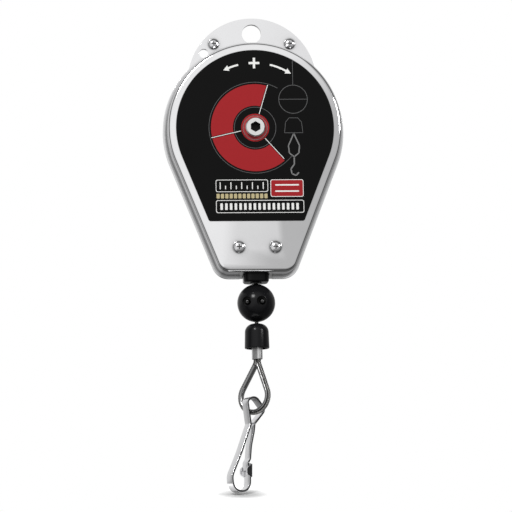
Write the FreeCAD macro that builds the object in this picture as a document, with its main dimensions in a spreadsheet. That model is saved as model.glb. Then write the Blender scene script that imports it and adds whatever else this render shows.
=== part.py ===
import FreeCAD, Part
import math
import os
import re

import Sketcher

# Spring balancer. X runs right, Y runs back, Z runs up; the origin is the middle of the hanging
# hole. Sizes are in millimetres and degrees. Most sub-parts are drawn about the spindle's axis,
# which lies axis_drop below the origin.
SIZES = {
    # housing
    "hole_above": 8.4,
    "axis_drop": "wall_r + hole_above",
    "half_depth": 17.5,
    "sheet": 1.5,
    "wall_r": 55.3,
    "wall_bottom": 91.8,
    "wall_corner": 9.0,
    "side_lean": 21.7,
    "edge_round": 2.5,
    "rim_wide": 2.2,
    "crown_r": 41.0,
    "crown_below": 22.5,
    "crown_up": "wall_r - crown_below",
    "hang_hole_r": 6.15,
    "safety_hole_r": 3.0,
    "safety_x": 30.6,
    "safety_below": 4.1,
    "safety_z": "wall_r - safety_below",
    "notch_half": 10.3,
    # fasteners of the housing
    "crown_screw_x": 24.3,
    "crown_screw_above": 1.9,
    "crown_screw_z": "wall_r + crown_screw_above",
    "crown_screw_r": 1.75,
    "crown_head_r": 3.45,
    "body_screw_x": 11.55,
    "body_screw_above": 15.4,
    "body_screw_z": "wall_bottom - body_screw_above",
    "body_screw_r": 2.0,
    "body_head_r": 3.85,
    # label
    "label_r": 50.0,
    "label_bottom": 59.7,
    "label_thick": 0.25,
    # spindle and its bearings
    "nose_r": 6.25,
    "post_r": 6.0,
    "journal_r": 4.0,
    "fit": 0.05,
    "socket_flats": 6.0,
    "wheel_flats": 9.0,
    "wheel_r": 15.0,
    "wheel_root_r": 12.8,
    "wheel_teeth": 16,
    # drum
    "pitch_r": 40.0,
    "rope_r": 1.25,
    "rope_pitch": 2.7,
    "rope_turns": 4.5,
    "drum_flange_r": 46.0,
    "drum_inner_r": 35.0,
    "cover_screw_r": 36.9,
    # power spring
    "strip": 0.5,
    "spring_wide": 13.6,
    "spring_r": 6.6,
    "spring_pitch": 3.05,
    # cable route
    "lean_above": 3.6,
    "run_lean": "asin(pitch_r / (body_screw_z + lean_above)) / 1deg",
    "bend_r": 18.0,
    "guide_below": 5.3,
    "guide_bottom": "wall_bottom + guide_below",
    "guide_half": 8.1,
    # load end
    "ball_r": 12.0,
    "ball_gap": 0.4,
    "ball_z": "guide_bottom + ball_gap + ball_r",
    "ball_yaw": -11.0,
    "ball_screw_x": 4.7,
    "bell_gap": 1.2,
    "bell_top": "ball_z + ball_r + bell_gap",
    "bell_tall": 15.7,
    "bell_bottom": "bell_top + bell_tall",
    "bell_r": 7.85,
    "bell_deep": 8.6,
    "ferrule_top": "bell_top + bell_deep",
    "ferrule_long": 14.1,
    "ferrule_bottom": "ferrule_top + ferrule_long",
    "leg_apart": 1.3,
    "loop_yaw": -36.0,
    "loop_lean": 6.0,
    "loop_r": 10.6,
    "loop_drop": 21.55,
    "thimble_wide": 5.0,
    "thimble_back": 2.15,
    "hook_x": -5.9,
    "hook_y": -0.95,
    "hook_below": 7.05,
    "hook_z": "ferrule_bottom + 2 + loop_drop + loop_r + hook_below",
    "hook_yaw": 34.5,
    "hook_thick": 1.3,
    "hook_wide": 5.5,
}

doc = FreeCAD.newDocument("balancer")
sheet = doc.addObject("Spreadsheet::Sheet", "Sizes")
for row, (name, size) in enumerate(SIZES.items(), 1):
    sheet.set(f"A{row}", name)
    sheet.set(f"B{row}", f"={size}")
    sheet.setAlias(f"B{row}", name)
doc.recompute()

SPINDLE_AXIS = "placement(vector(0; 0; -axis_drop); rotation(vector(0; 0; 1); 0))"
PARTS = []


def bound(text):
    """The expression with every size written as the sheet's cell."""
    return re.sub(r"\b[a-z_]+\b", lambda m: "Sizes." + m[0] if m[0] in SIZES else m[0], str(text))


def number(text):
    """What an expression comes to with the sheet's sizes."""
    found = sheet.evalExpression(bound(text))
    return float(getattr(found, "Value", found))


def new_body(name, place=SPINDLE_AXIS):
    body = doc.addObject("PartDesign::Body", "body_" + name)
    body.Label = name
    body.AllowCompound = True
    body.setExpression("Placement", bound(place))
    PARTS.append(body)
    return body


def new_sketch(body, plane, offset="0"):
    """A sketch on one of the body's origin planes, moved along the plane's normal."""
    sketch = body.newObject("Sketcher::SketchObject", "sketch")
    origin = next(o for o in body.Origin.OriginFeatures if o.Role == plane)
    sketch.AttachmentSupport = [(origin, "")]
    sketch.MapMode = "FlatFace"
    sketch.setExpression("AttachmentOffset.Base.z", bound(offset))
    return sketch


def fix_point(sketch, item, end, x, y):
    for kind, text in (("DistanceX", x), ("DistanceY", y)):
        at = sketch.addConstraint(Sketcher.Constraint(kind, -1, 1, item, end, number(text)))
        sketch.setExpression(f"Constraints[{at}]", bound(text))


def add_circles(sketch, circles):
    for x, y, radius in circles:
        middle = FreeCAD.Vector(number(x), number(y), 0)
        item = sketch.addGeometry(Part.Circle(middle, FreeCAD.Vector(0, 0, 1), number(radius)))
        fix_point(sketch, item, 3, x, y)
        at = sketch.addConstraint(Sketcher.Constraint("Radius", item, number(radius)))
        sketch.setExpression(f"Constraints[{at}]", bound(radius))


def arc_between(start, end, radius, turn):
    """The arc from start to end: turn is 1 or -1 for the way round, 2 or -2 for the long way."""
    half = (end - start) * 0.5
    rise = math.sqrt(max(radius * radius - half.Length**2, 0.0))
    way = 1 if turn > 0 else -1
    side = FreeCAD.Vector(-half.y, half.x, 0).normalize() * way
    centre = start + half + side * (rise if abs(turn) == 1 else -rise)
    return Part.Arc(start, centre - side * radius, end)


def add_path(sketch, points, closed=True):
    """Lines and arcs through points (x, y) or (x, y, radius, turn) where an arc leads onward."""
    spots = [FreeCAD.Vector(number(p[0]), number(p[1]), 0) for p in points]
    count = len(points) if closed else len(points) - 1
    ends = []
    for i in range(count):
        start, end = spots[i], spots[(i + 1) % len(spots)]
        if len(points[i]) == 2:
            item = sketch.addGeometry(Part.LineSegment(start, end))
            ends.append((item, 1, 2))
            continue
        curve = arc_between(start, end, number(points[i][2]), points[i][3])
        item = sketch.addGeometry(curve)
        forward = points[i][3] > 0
        ends.append((item, 1, 2) if forward else (item, 2, 1))
    for i in range(count):
        fix_point(sketch, ends[i][0], ends[i][1], points[i][0], points[i][1])
    if not closed:
        fix_point(sketch, ends[-1][0], ends[-1][2], points[-1][0], points[-1][1])
    for i in range(count if closed else count - 1):
        after = ends[(i + 1) % count]
        sketch.addConstraint(Sketcher.Constraint("Coincident", ends[i][0], ends[i][2], after[0], after[1]))
    for i in range(count):
        if len(points[i]) == 2:
            continue
        chord = spots[(i + 1) % len(spots)] - spots[i]
        kind, text = "Radius", points[i][2]
        rule = Sketcher.Constraint(kind, ends[i][0], number(text))
        if abs(chord.Length / 2 - number(text)) < 1e-6:
            kind, text = ("DistanceX", points[i][0]) if abs(chord.x) < abs(chord.y) else ("DistanceY", points[i][1])
            rule = Sketcher.Constraint(kind, -1, 1, ends[i][0], 3, number(text))
        at = sketch.addConstraint(rule)
        sketch.setExpression(f"Constraints[{at}]", bound(text))


def rounded(corners, closed=True):
    """Points for add_path from corners (x, y, radius), as numbers worked out from the sizes."""
    spots = [FreeCAD.Vector(number(c[0]), number(c[1]), 0) for c in corners]
    points = []
    for i, corner in enumerate(corners):
        radius = number(corner[2]) if len(corner) > 2 else 0.0
        last = not closed and i in (0, len(corners) - 1)
        if last or radius == 0.0:
            points.append((corner[0], corner[1]))
            continue
        before = (spots[i - 1] - spots[i]).normalize()
        after = (spots[(i + 1) % len(spots)] - spots[i]).normalize()
        reach = radius / math.tan(before.getAngle(after) / 2)
        turn = 1 if before.cross(after).z < 0 else -1
        first, second = spots[i] + before * reach, spots[i] + after * reach
        points.append((first.x, first.y, radius, turn))
        points.append((second.x, second.y))
    return points


def add_box(sketch, x0, x1, y0, y1):
    add_path(sketch, [(x0, y0), (x1, y0), (x1, y1), (x0, y1)])


def add_hexagon(sketch, x, y, flats):
    corners = []
    for k in range(6):
        reach = f"({flats}) / sqrt(3)"
        corners.append((f"{x} + {reach} * cos({60 * k})", f"{y} + {reach} * sin({60 * k})"))
    add_path(sketch, corners)


def add_cross(sketch, x, y, arm, half):
    """The outline of a cross recess."""
    corners = []
    for right, up in ((1, 1), (-1, 1), (-1, -1), (1, -1)):
        inner = (f"{x} + {right} * ({half})", f"{y} + {up} * ({half})")
        flat = (f"{x} + {right} * ({arm})", f"{y} + {up} * ({half})")
        tall = (f"{x} + {right} * ({half})", f"{y} + {up} * ({arm})")
        corners += [flat, inner, tall] if right * up > 0 else [tall, inner, flat]
    add_path(sketch, corners)


def extrude(kind, sketch, length, backward=False, middle=False):
    body = sketch.getParentGeoFeatureGroup()
    feature = body.newObject("PartDesign::" + kind, kind.lower())
    feature.Profile = sketch
    feature.Reversed = backward
    if middle:
        feature.SideType = "Symmetric"
    feature.setExpression("Length", bound(length))
    doc.recompute()
    return feature


def pad(sketch, length, backward=False, middle=False):
    """Adds along the sketch's normal."""
    return extrude("Pad", sketch, length, backward, middle)


def cut(sketch, length, backward=False, middle=False):
    """Removes along the sketch's normal."""
    return extrude("Pocket", sketch, length, not backward, middle)


def spin(sketch, axis, kind="Revolution", angle=360, backward=False):
    body = sketch.getParentGeoFeatureGroup()
    feature = body.newObject("PartDesign::" + kind, kind.lower())
    feature.Profile = sketch
    feature.ReferenceAxis = (sketch, [axis])
    feature.Angle = angle
    feature.Reversed = backward
    doc.recompute()
    return feature


def sweep(section, path):
    body = section.getParentGeoFeatureGroup()
    feature = body.newObject("PartDesign::AdditivePipe", "pipe")
    feature.Profile = section
    feature.Spine = path
    doc.recompute()
    return feature


def copy_round(features, axis, count):
    body = features[0].getParentGeoFeatureGroup()
    feature = body.newObject("PartDesign::PolarPattern", "ring")
    feature.Originals = features
    feature.Axis = axis
    feature.Angle = 360
    feature.Occurrences = count
    body.Tip = feature
    doc.recompute()
    return feature


def dress(kind, feature, size, wanted):
    """A fillet or chamfer on the edges whose box the test accepts."""
    body = feature.getParentGeoFeatureGroup()
    names = []
    for i, edge in enumerate(feature.Shape.Edges, 1):
        if wanted(edge):
            names.append(f"Edge{i}")
    if not names:
        raise ValueError(f"{body.Label}: no edge to {kind}")
    made = body.newObject("PartDesign::" + kind, kind.lower())
    made.Base = (feature, names)
    made.setExpression("Radius" if kind == "Fillet" else "Size", bound(size))
    doc.recompute()
    return made


def flat_at(edge, axis, spot):
    """Whether the whole edge lies at one height along an axis (0 x, 1 y, 2 z)."""
    box = edge.BoundBox
    low = (box.XMin, box.YMin, box.ZMin)[axis]
    high = (box.XMax, box.YMax, box.ZMax)[axis]
    return abs(low - spot) < 1e-4 and abs(high - spot) < 1e-4


# ---------------------------------------------------------------- housing


def dish_points(radius, bottom, corner):
    """Round top, sides that lean in, flat bottom with rounded corners, about the spindle."""
    cosine, sine = "cos(side_lean)", "sin(side_lean)"
    across = f"(({radius}) - ({corner}) - (({bottom}) - ({corner})) * {sine}) / {cosine}"
    side_x = f"({across} + ({corner}) * {cosine})"
    side_z = f"-(({bottom}) - ({corner})) - ({corner}) * {sine}"
    top_x, top_z = f"({radius}) * {cosine}", f"-({radius}) * {sine}"
    return [
        (top_x, top_z, radius, 2),
        (f"-{top_x}", top_z),
        (f"-{side_x}", side_z, corner, 1),
        (f"-({across})", f"-({bottom})"),
        (across, f"-({bottom})", corner, 1),
        (side_x, side_z),
    ]


def make_shell(name, front):
    """One pressed dish. The rear one is the same pressing turned round, holes on its own side."""
    turn = 0 if front else 180
    place = f"placement(vector(0; 0; -axis_drop); rotation(vector(0; 0; 1); {turn}))"
    body = new_body(name, place)
    rim = new_sketch(body, "XZ_Plane")
    add_path(rim, dish_points("wall_r + rim_wide", "wall_bottom + rim_wide", "wall_corner + rim_wide"))
    pad(rim, "sheet")
    crown = new_sketch(body, "XZ_Plane")
    add_circles(crown, [("0", "crown_up", "crown_r")])
    crowned = pad(crown, "sheet")
    shoulder = number("(wall_r + rim_wide)^2 - crown_r^2 + crown_up^2") / number("2 * crown_up")
    dress(
        "Fillet",
        crowned,
        "1.5",
        lambda e: e.BoundBox.YLength > 1 and abs(e.BoundBox.ZMin - shoulder) < 0.01 and e.BoundBox.ZLength < 0.01,
    )
    wall = new_sketch(body, "XZ_Plane")
    add_path(wall, dish_points("wall_r", "wall_bottom", "wall_corner"))
    block = pad(wall, "half_depth")
    depth = number("half_depth")
    block = dress("Fillet", block, "edge_round", lambda e: flat_at(e, 1, -depth))
    hollow = new_sketch(body, "XZ_Plane")
    add_path(hollow, dish_points("wall_r - sheet", "wall_bottom - sheet", "wall_corner - sheet"))
    cut(hollow, "half_depth - sheet")
    notch = new_sketch(body, "XZ_Plane")
    add_box(notch, "-notch_half", "notch_half", "-wall_bottom - rim_wide - 2", "-wall_bottom")
    cut(notch, "sheet + 1")
    outlet = new_sketch(body, "XZ_Plane")
    add_box(outlet, "-guide_half - 0.2", "guide_half + 0.2", "-wall_bottom - 2", "-wall_bottom + sheet + 3")
    cut(outlet, "guide_half + 0.2")
    side = "-1" if front else "1"
    bores = new_sketch(body, "XZ_Plane")
    holes = [
        ("0", "axis_drop", "hang_hole_r"),
        (f"{side} * safety_x", "safety_z", "safety_hole_r"),
        ("-crown_screw_x", "crown_screw_z", "crown_screw_r + 0.1"),
        ("crown_screw_x", "crown_screw_z", "crown_screw_r + 0.1"),
    ]
    add_circles(bores, holes)
    cut(bores, "sheet * 2")
    face = new_sketch(body, "XZ_Plane", "half_depth - sheet - 1")
    holes = [
        ("0", "0", "nose_r + fit + 1.25 + fit" if front else "journal_r + fit + 1.5 + fit"),
        ("-body_screw_x", "-body_screw_z", "body_screw_r + 0.1"),
        ("body_screw_x", "-body_screw_z", "body_screw_r + 0.1"),
    ]
    if not front:
        holes += [("-20", "-18.5", "1.55"), ("-20", "-25.5", "1.55")]
    add_circles(face, holes)
    cut(face, "sheet + 2")


def make_label():
    body = new_body("face_label")
    sheet_face = new_sketch(body, "XZ_Plane", "half_depth")
    add_path(sheet_face, dish_points("label_r", "label_bottom", "1.5"))
    pad(sheet_face, "label_thick")
    hole = new_sketch(body, "XZ_Plane", "half_depth")
    add_circles(hole, [("0", "0", "nose_r + fit + 1.6")])
    cut(hole, "label_thick + 1")


def make_pan_screws(name, x, z, shank, head, seat, grip, tall):
    """Two cross-recessed pan screws, heads toward the front."""
    body = new_body(name + "_one")
    sketches = new_sketch(body, "XZ_Plane", seat)
    add_circles(sketches, [(x, z, head)])
    heads = pad(sketches, tall)
    top = number(f"-({seat}) - ({tall})")
    dress("Chamfer", heads, f"{tall} * 0.4", lambda e: flat_at(e, 1, top))
    shaft = new_sketch(body, "XZ_Plane", seat)
    add_circles(shaft, [(x, z, shank)])
    pad(shaft, grip, backward=True)
    recess = new_sketch(body, "XZ_Plane", f"{seat} + {tall} * 0.35")
    add_cross(recess, x, z, f"{head} * 0.55", f"{head} * 0.12")
    cut(recess, f"{tall}")
    group_twins(name, body, x)


def group_twins(name, one, x):
    """A group of a body drawn on the right and its twin moved across the middle."""
    PARTS.remove(one)
    twin = doc.addObject("Part::Mirroring", "twin_" + name)
    twin.Source = one
    twin.Normal = FreeCAD.Vector(1, 0, 0)
    group = doc.addObject("Part::Compound", "group_" + name)
    group.Links = [one, twin]
    group.Label = name
    PARTS.append(group)
    doc.recompute()


def make_nuts(name, x, z, bore, flats, seat, thick, place=SPINDLE_AXIS):
    """Two hexagon nuts behind a plane at seat."""
    one = new_body(name + "_one", place)
    blank = new_sketch(one, "XZ_Plane", f"-({seat})")
    add_hexagon(blank, x, z, flats)
    pad(blank, thick, backward=True)
    hole = new_sketch(one, "XZ_Plane", f"-({seat})")
    add_circles(hole, [(x, z, bore)])
    cut(hole, f"{thick} + 1", backward=True)
    group_twins(name, one, x)


def profile_about_spindle(name, points):
    """A turned sub-part: points are (distance back, radius) round the spindle's axis."""
    body = new_body(name)
    half = new_sketch(body, "YZ_Plane")
    add_path(half, points)
    spin(half, "H_Axis")
    return body


def make_bushes():
    bore, out = "nose_r + fit", "nose_r + fit + 1.25"
    back = "-half_depth + sheet"
    points = [("-half_depth - 0.4", bore), (f"{back} + 1", bore), (f"{back} + 1", "nose_r + 3.75")]
    points += [(back, "nose_r + 3.75"), (back, out), ("-half_depth - 0.4", out)]
    profile_about_spindle("front_bush", points)
    bore, out = "journal_r + fit", "journal_r + fit + 1.5"
    face = "half_depth - sheet"
    points = [(f"{face} - 1", bore), ("half_depth + 0.4", bore), ("half_depth + 0.4", out)]
    points += [(face, out), (face, "journal_r + 3"), (f"{face} - 1", "journal_r + 3")]
    profile_about_spindle("rear_bush", points)


def make_click():
    """The leaf that drops into the ratchet wheel, and the two rivets of its foot."""
    body = new_body("click_leaf")
    foot = new_sketch(body, "XZ_Plane", "-half_depth + sheet")
    add_path(foot, rounded([("15", "-29", "1.5"), ("25", "-29", "1.5"), ("25", "-15", "1.5"), ("15", "-15", "0")]))
    pad(foot, "0.8")
    holes = new_sketch(body, "XZ_Plane", "-half_depth + sheet")
    add_circles(holes, [("20", "-18.5", "1.55"), ("20", "-25.5", "1.55")])
    cut(holes, "2")
    blade = new_sketch(body, "XZ_Plane", "-half_depth + sheet")
    tip = "wheel_root_r + 0.9"
    add_path(blade, [("0.2", f"-({tip})"), ("15.3", "-19.6"), ("15.3", "-20.5"), ("0.2", f"-({tip}) - 0.85")])
    pad(blade, "5.3")
    rivets = new_body("click_rivets")
    shafts = new_sketch(rivets, "XZ_Plane", "-half_depth")
    add_circles(shafts, [("20", "-18.5", "1.5"), ("20", "-25.5", "1.5")])
    pad(shafts, "sheet + 0.8")
    for offset, backward in (("-half_depth + sheet + 0.8", False), ("-half_depth", True)):
        heads = new_sketch(rivets, "XZ_Plane", offset)
        add_circles(heads, [("20", "-18.5", "2.6"), ("20", "-25.5", "2.6")])
        pad(heads, "0.9", backward=backward)


# ---------------------------------------------------------------- spindle


def make_spindle():
    """Stepped spindle: key socket in front, slot for the spring, hexagon and journal behind."""
    points = [
        ("-half_depth - 4.2", "0"),
        ("-half_depth - 4.2", "nose_r - 0.6"),
        ("-half_depth - 3.6", "nose_r"),
        ("-14.8", "nose_r"),
        ("-14.8", "8"),
        ("-14", "8"),
        ("-14", "post_r"),
        ("10.5", "post_r"),
        ("10.5", "journal_r"),
        ("13.5", "journal_r"),
        ("13.5", "journal_r - 0.6"),
        ("14.3", "journal_r - 0.6"),
        ("14.3", "journal_r"),
        ("half_depth + 0.5", "journal_r"),
        ("half_depth + 1", "journal_r - 0.5"),
        ("half_depth + 1", "0"),
    ]
    body = profile_about_spindle("adjusting_spindle", points)
    hexagon = new_sketch(body, "XZ_Plane", "-13.3")
    add_hexagon(hexagon, "0", "0", "wheel_flats")
    pad(hexagon, "2.8")
    socket = new_sketch(body, "XZ_Plane", "half_depth + 4.2")
    add_hexagon(socket, "0", "0", "socket_flats")
    cut(socket, "6", backward=True)
    slot = new_sketch(body, "XZ_Plane", "-2.6")
    add_box(slot, "post_r - 3.2", "post_r + 1", "-strip / 2 - 0.1", "strip / 2 + 0.1")
    cut(slot, "spring_wide + 0.5")


def make_ratchet():
    body = new_body("ratchet_wheel")
    disc = new_sketch(body, "XZ_Plane", "-13.3")
    add_circles(disc, [("0", "0", "wheel_root_r")])
    pad(disc, "2.8")
    tooth = new_sketch(body, "XZ_Plane", "-13.3")
    step = "(360 / wheel_teeth)"
    points = [("0", "-wheel_root_r + 1"), ("0", "-wheel_r"), (f"-wheel_root_r * sin({step})", f"-wheel_root_r * cos({step})")]
    points.append((f"-(wheel_root_r - 1) * sin({step})", f"-(wheel_root_r - 1) * cos({step})"))
    add_path(tooth, points[::-1])
    one = pad(tooth, "2.8")
    copy_round([one], (disc, ["N_Axis"]), int(number("wheel_teeth")))
    hole = new_sketch(body, "XZ_Plane", "-14")
    add_hexagon(hole, "0", "0", "wheel_flats + 0.1")
    cut(hole, "5")
    points = [("9.3", "post_r + fit"), ("10.3", "post_r + fit"), ("10.3", "9.5"), ("9.3", "9.5")]
    profile_about_spindle("thrust_washer", points)
    ring = new_body("circlip")
    outline = new_sketch(ring, "XZ_Plane", "-14.25")
    gap = 35
    inner, outer = "(journal_r - 0.55)", "(journal_r + 1.8)"
    points = []
    for radius, angle in ((outer, gap), (outer, 180 - gap), (inner, 180 - gap), (inner, gap)):
        points.append((f"{radius} * cos({90 + angle})", f"{radius} * sin({90 + angle})"))
    points[0] += (outer, 2)
    points[2] += (inner, -2)
    points[1] = (f"{outer} * cos({90 - gap})", f"{outer} * sin({90 - gap})")
    points[2] = (f"{inner} * cos({90 - gap})", f"{inner} * sin({90 - gap})", inner, -2)
    add_path(outline, points)
    pad(outline, "0.7")


# ---------------------------------------------------------------- drum

# where the rope ends on the drum, as an angle from the right, and where the spring's post stands
ROPE_END = "(180 + run_lean - 360 * rope_turns)"
POST_X = "(spring_r + 8 * spring_pitch + strip / 2 + 0.05 + 1.5)"


def make_drum():
    groove_r = "(pitch_r - rope_r - 0.05)"
    points = [
        ("-13.8", "post_r + fit"),
        ("-11.5", "post_r + fit"),
        ("-11.5", "drum_inner_r"),
        ("2.8", "drum_inner_r"),
        ("2.8", "drum_flange_r"),
        ("1.6", "drum_flange_r"),
        ("1.6", groove_r),
        ("-14", groove_r),
        ("-14", "drum_flange_r"),
        ("-15", "drum_flange_r"),
        ("-15", "drum_inner_r - 1"),
        ("-13.8", "drum_inner_r - 3"),
    ]
    body = profile_about_spindle("cable_drum", points)
    screws = new_sketch(body, "XZ_Plane", "-3.5")
    holes = []
    for k in range(4):
        holes.append((f"cover_screw_r * cos({45 + 90 * k})", f"cover_screw_r * sin({45 + 90 * k})", "1.05"))
    add_circles(screws, holes)
    cut(screws, "6.5")
    post = new_sketch(body, "XZ_Plane", "13.2")
    add_circles(post, [(POST_X, "0", "1.55")])
    cut(post, "4", backward=True)
    seat = new_sketch(body, "XZ_Plane", "14")
    corners = []
    for out, along in (("pitch_r - 1.8", -0.05), ("drum_flange_r + 2", -0.05), ("drum_flange_r + 2", -6.35), ("pitch_r - 1.8", -6.35)):
        x = f"({out}) * cos({ROPE_END}) - {along} * sin({ROPE_END})"
        corners.append((x, f"({out}) * sin({ROPE_END}) + {along} * cos({ROPE_END})"))
    add_path(seat, corners)
    cut(seat, "2")




def make_cover():
    points = [("2.8", "post_r + fit"), ("9.1", "post_r + fit"), ("9.1", "9.5"), ("4.3", "10.5")]
    points += [("4.3", "41"), ("2.8", "41")]
    body = profile_about_spindle("drum_cover", points)
    screws = new_sketch(body, "XZ_Plane", "-6")
    holes = [(POST_X, "0", "1.55")]
    for k in range(4):
        holes.append((f"cover_screw_r * cos({45 + 90 * k})", f"cover_screw_r * sin({45 + 90 * k})", "1.05"))
    add_circles(screws, holes)
    cut(screws, "5")
    screws = new_body("cover_screws")
    shanks = new_sketch(screws, "XZ_Plane", "-4.3")
    spots = [(h[0], h[1]) for h in holes[1:]]
    add_circles(shanks, [(x, z, "1") for x, z in spots])
    pad(shanks, "6")
    heads = new_sketch(screws, "XZ_Plane", "-4.3")
    add_circles(heads, [(x, z, "1.9") for x, z in spots])
    pad(heads, "1.3", backward=True)
    slots = new_sketch(screws, "XZ_Plane", "-5.6")
    for x, z in spots:
        add_box(slots, f"{x} - 2.2", f"{x} + 2.2", f"{z} - 0.25", f"{z} + 0.25")
    cut(slots, "0.6")
    pin = new_body("spring_post")
    outline = new_sketch(pin, "XZ_Plane", "-4.3")
    add_circles(outline, [(POST_X, "0", "1.5")])
    pad(outline, "17.3")


def make_spring():
    """Strip wound outward anti-clockwise: half circles about two centres, hooked on the post."""
    body = new_body("power_spring")
    path = new_sketch(body, "XZ_Plane", "0")
    points = []
    for k in range(17):
        reach = f"(spring_r + {k} * spring_pitch / 2)"
        shift = "0" if k % 2 == 0 else "spring_pitch / 2"
        x = reach if k % 2 == 0 else f"-({reach} - spring_pitch / 2)"
        points.append((x, "0", reach, 1))
    bend = "(strip / 2 + 0.05 + 1.5)"
    points[-1] = (points[-1][0], "0", bend, -2)
    points.append((f"{POST_X} + {bend} * cos(-50)", f"{bend} * sin(-50)"))
    add_path(path, points, closed=False)
    section = new_sketch(body, "XY_Plane")
    add_box(section, "spring_r - strip / 2", "spring_r + strip / 2", "2.4 - spring_wide", "2.4")
    sweep(section, path)
    tail = new_sketch(body, "XZ_Plane", "-2.4")
    add_box(tail, "post_r - 3", "spring_r + strip / 2", "-strip / 2", "strip / 2")
    pad(tail, "spring_wide")


def eight_sided_bend(start, centre, axis, degrees):
    """A length of rope, eight-sided with the round rope's section, bent round an axis."""
    reach = number("rope_r") * math.sqrt(math.pi / (2 * math.sqrt(2)))
    out = (start - centre).normalize()
    side = FreeCAD.Vector(axis).normalize()
    corners = []
    for k in range(9):
        angle = math.pi * (k + 0.5) / 4
        corners.append(start + out * (reach * math.cos(angle)) + side * (reach * math.sin(angle)))
    return Part.Face(Part.makePolygon(corners)).revolve(centre, axis, degrees)


def keep_rope(name, shape, length):
    rope = doc.addObject("Part::Feature", name)
    rope.Label = name
    rope.Shape = shape
    section = math.pi * number("rope_r") ** 2
    print(name, "length", round(length, 1), "by volume", round(rope.Shape.Volume / section, 1))
    PARTS.append(rope)


def make_wound_cable():
    """The turns on the drum, from where the cable leaves it toward the front.

    Each half turn is a half circle leaning by half the pitch, so every joint is smooth.
    """
    radius, pitch = number("pitch_r"), number("rope_pitch")
    first = math.radians(number("180 + run_lean"))
    drop = -number("axis_drop")

    def spot(angle, back, reach):
        return FreeCAD.Vector(reach * math.cos(angle), back, drop + reach * math.sin(angle))

    halves = []
    for k in range(int(round(2 * number("rope_turns")))):
        angle = first - math.pi * k
        start = spot(angle, -pitch * k / 2, radius)
        end = spot(angle - math.pi, -pitch * (k + 1) / 2, radius)
        heading = FreeCAD.Vector(math.sin(angle), 0, -math.cos(angle))
        axis = (start - (start + end) * 0.5).cross(heading)
        halves.append(eight_sided_bend(start, (start + end) * 0.5, axis, 180))
    coil = halves[0].multiFuse(halves[1:])
    keep_rope("wound_cable", coil, math.pi * math.hypot(radius, pitch / 4) * len(halves))
    place = "placement(vector(0; -rope_pitch * rope_turns - 0.85; -axis_drop);"
    place += f" rotation(vector(0; 1; 0); -{ROPE_END}))"
    slug = new_body("cable_anchor", place)
    outline = new_sketch(slug, "XY_Plane", "-0.15")
    add_circles(outline, [("pitch_r + 0.85", "0", "2")])
    made = pad(outline, "6", backward=True)
    dress("Chamfer", made, "0.4", lambda e: flat_at(e, 2, -6.15))


def make_run():
    body = new_body("cable_run")
    path = new_sketch(body, "XZ_Plane")
    end = "(guide_bottom + 0.15)"
    corners = [
        ("0", f"-{end}"),
        ("0", "-pitch_r / sin(run_lean)", "bend_r"),
        ("-pitch_r * cos(run_lean) + 0.15 * sin(run_lean)", "-pitch_r * sin(run_lean) - 0.15 * cos(run_lean)"),
    ]
    add_path(path, rounded(corners, closed=False), closed=False)
    section = new_sketch(body, "XY_Plane", f"-{end}")
    add_circles(section, [("0", "0", "rope_r")])
    sweep(section, path)


def make_guide():
    """Outlet guide: ears clamped by the two body screws, trumpet bore, nose through the wall."""
    body = new_body("outlet_guide")
    block = new_sketch(body, "XZ_Plane")
    top = "(body_screw_z - 4.2)"
    wide = "(body_screw_x + 4.1)"
    low = "(wall_bottom - 5.8)"
    corners = [(f"-{wide}", f"-{low}", "2"), (wide, f"-{low}", "2"), (wide, f"-{top}", "3.9"), (f"-{wide}", f"-{top}", "3.9")]
    add_path(block, rounded(corners))
    pad(block, "(half_depth - sheet - 0.1) * 2", middle=True)
    nose = new_sketch(body, "XY_Plane", "-guide_bottom + 0.5")
    corners = []
    for sx, sy in ((-1, -1), (1, -1), (1, 1), (-1, 1)):
        corners.append((f"{sx} * guide_half", f"{sy} * guide_half", "5"))
    add_path(nose, rounded(corners))
    made = pad(nose, "guide_below + 5.8")
    bottom = number("-guide_bottom + 0.5")
    dress("Fillet", made, "1.2", lambda e: flat_at(e, 2, bottom))
    nozzle = new_sketch(body, "XY_Plane", "-guide_bottom")
    add_circles(nozzle, [("0", "0", "3.9")])
    pad(nozzle, "3")
    flare = new_sketch(body, "XZ_Plane")
    throat, bell = "(rope_r + 0.35)", "(bend_r - rope_r - 0.35)"
    start = "(pitch_r / sin(run_lean) + bend_r * tan(run_lean / 2))"
    rise = f"({start} - {top})"
    mouth = f"({throat} + {bell} - sqrt({bell}^2 - {rise}^2))"
    points = [("0", "-guide_bottom - 1"), (throat, "-guide_bottom - 1"), (throat, f"-{start}", bell, -1)]
    points += [(mouth, f"-{top}"), (mouth, f"-{top} + 1"), ("0", f"-{top} + 1")]
    add_path(flare, points)
    spin(flare, "V_Axis", kind="Groove")
    holes = new_sketch(body, "XZ_Plane")
    spots = [(x, "-body_screw_z", "body_screw_r + 0.1") for x in ("-body_screw_x", "body_screw_x")]
    add_circles(holes, spots)
    cut(holes, "half_depth * 2.2", middle=True)


# ---------------------------------------------------------------- load end

BALL = "placement(vector(0; 0; -axis_drop - ball_z); rotation(vector(0; 0; 1); ball_yaw))"
LOOP = "placement(vector(0; 0; -axis_drop - ferrule_bottom - 2);"
LOOP += " rotation(vector(0; 1; 0); loop_lean) * rotation(vector(0; 0; 1); loop_yaw))"
HOOK = "placement(vector(hook_x; hook_y; -axis_drop - hook_z); rotation(vector(0; 0; 1); hook_yaw))"


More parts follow.
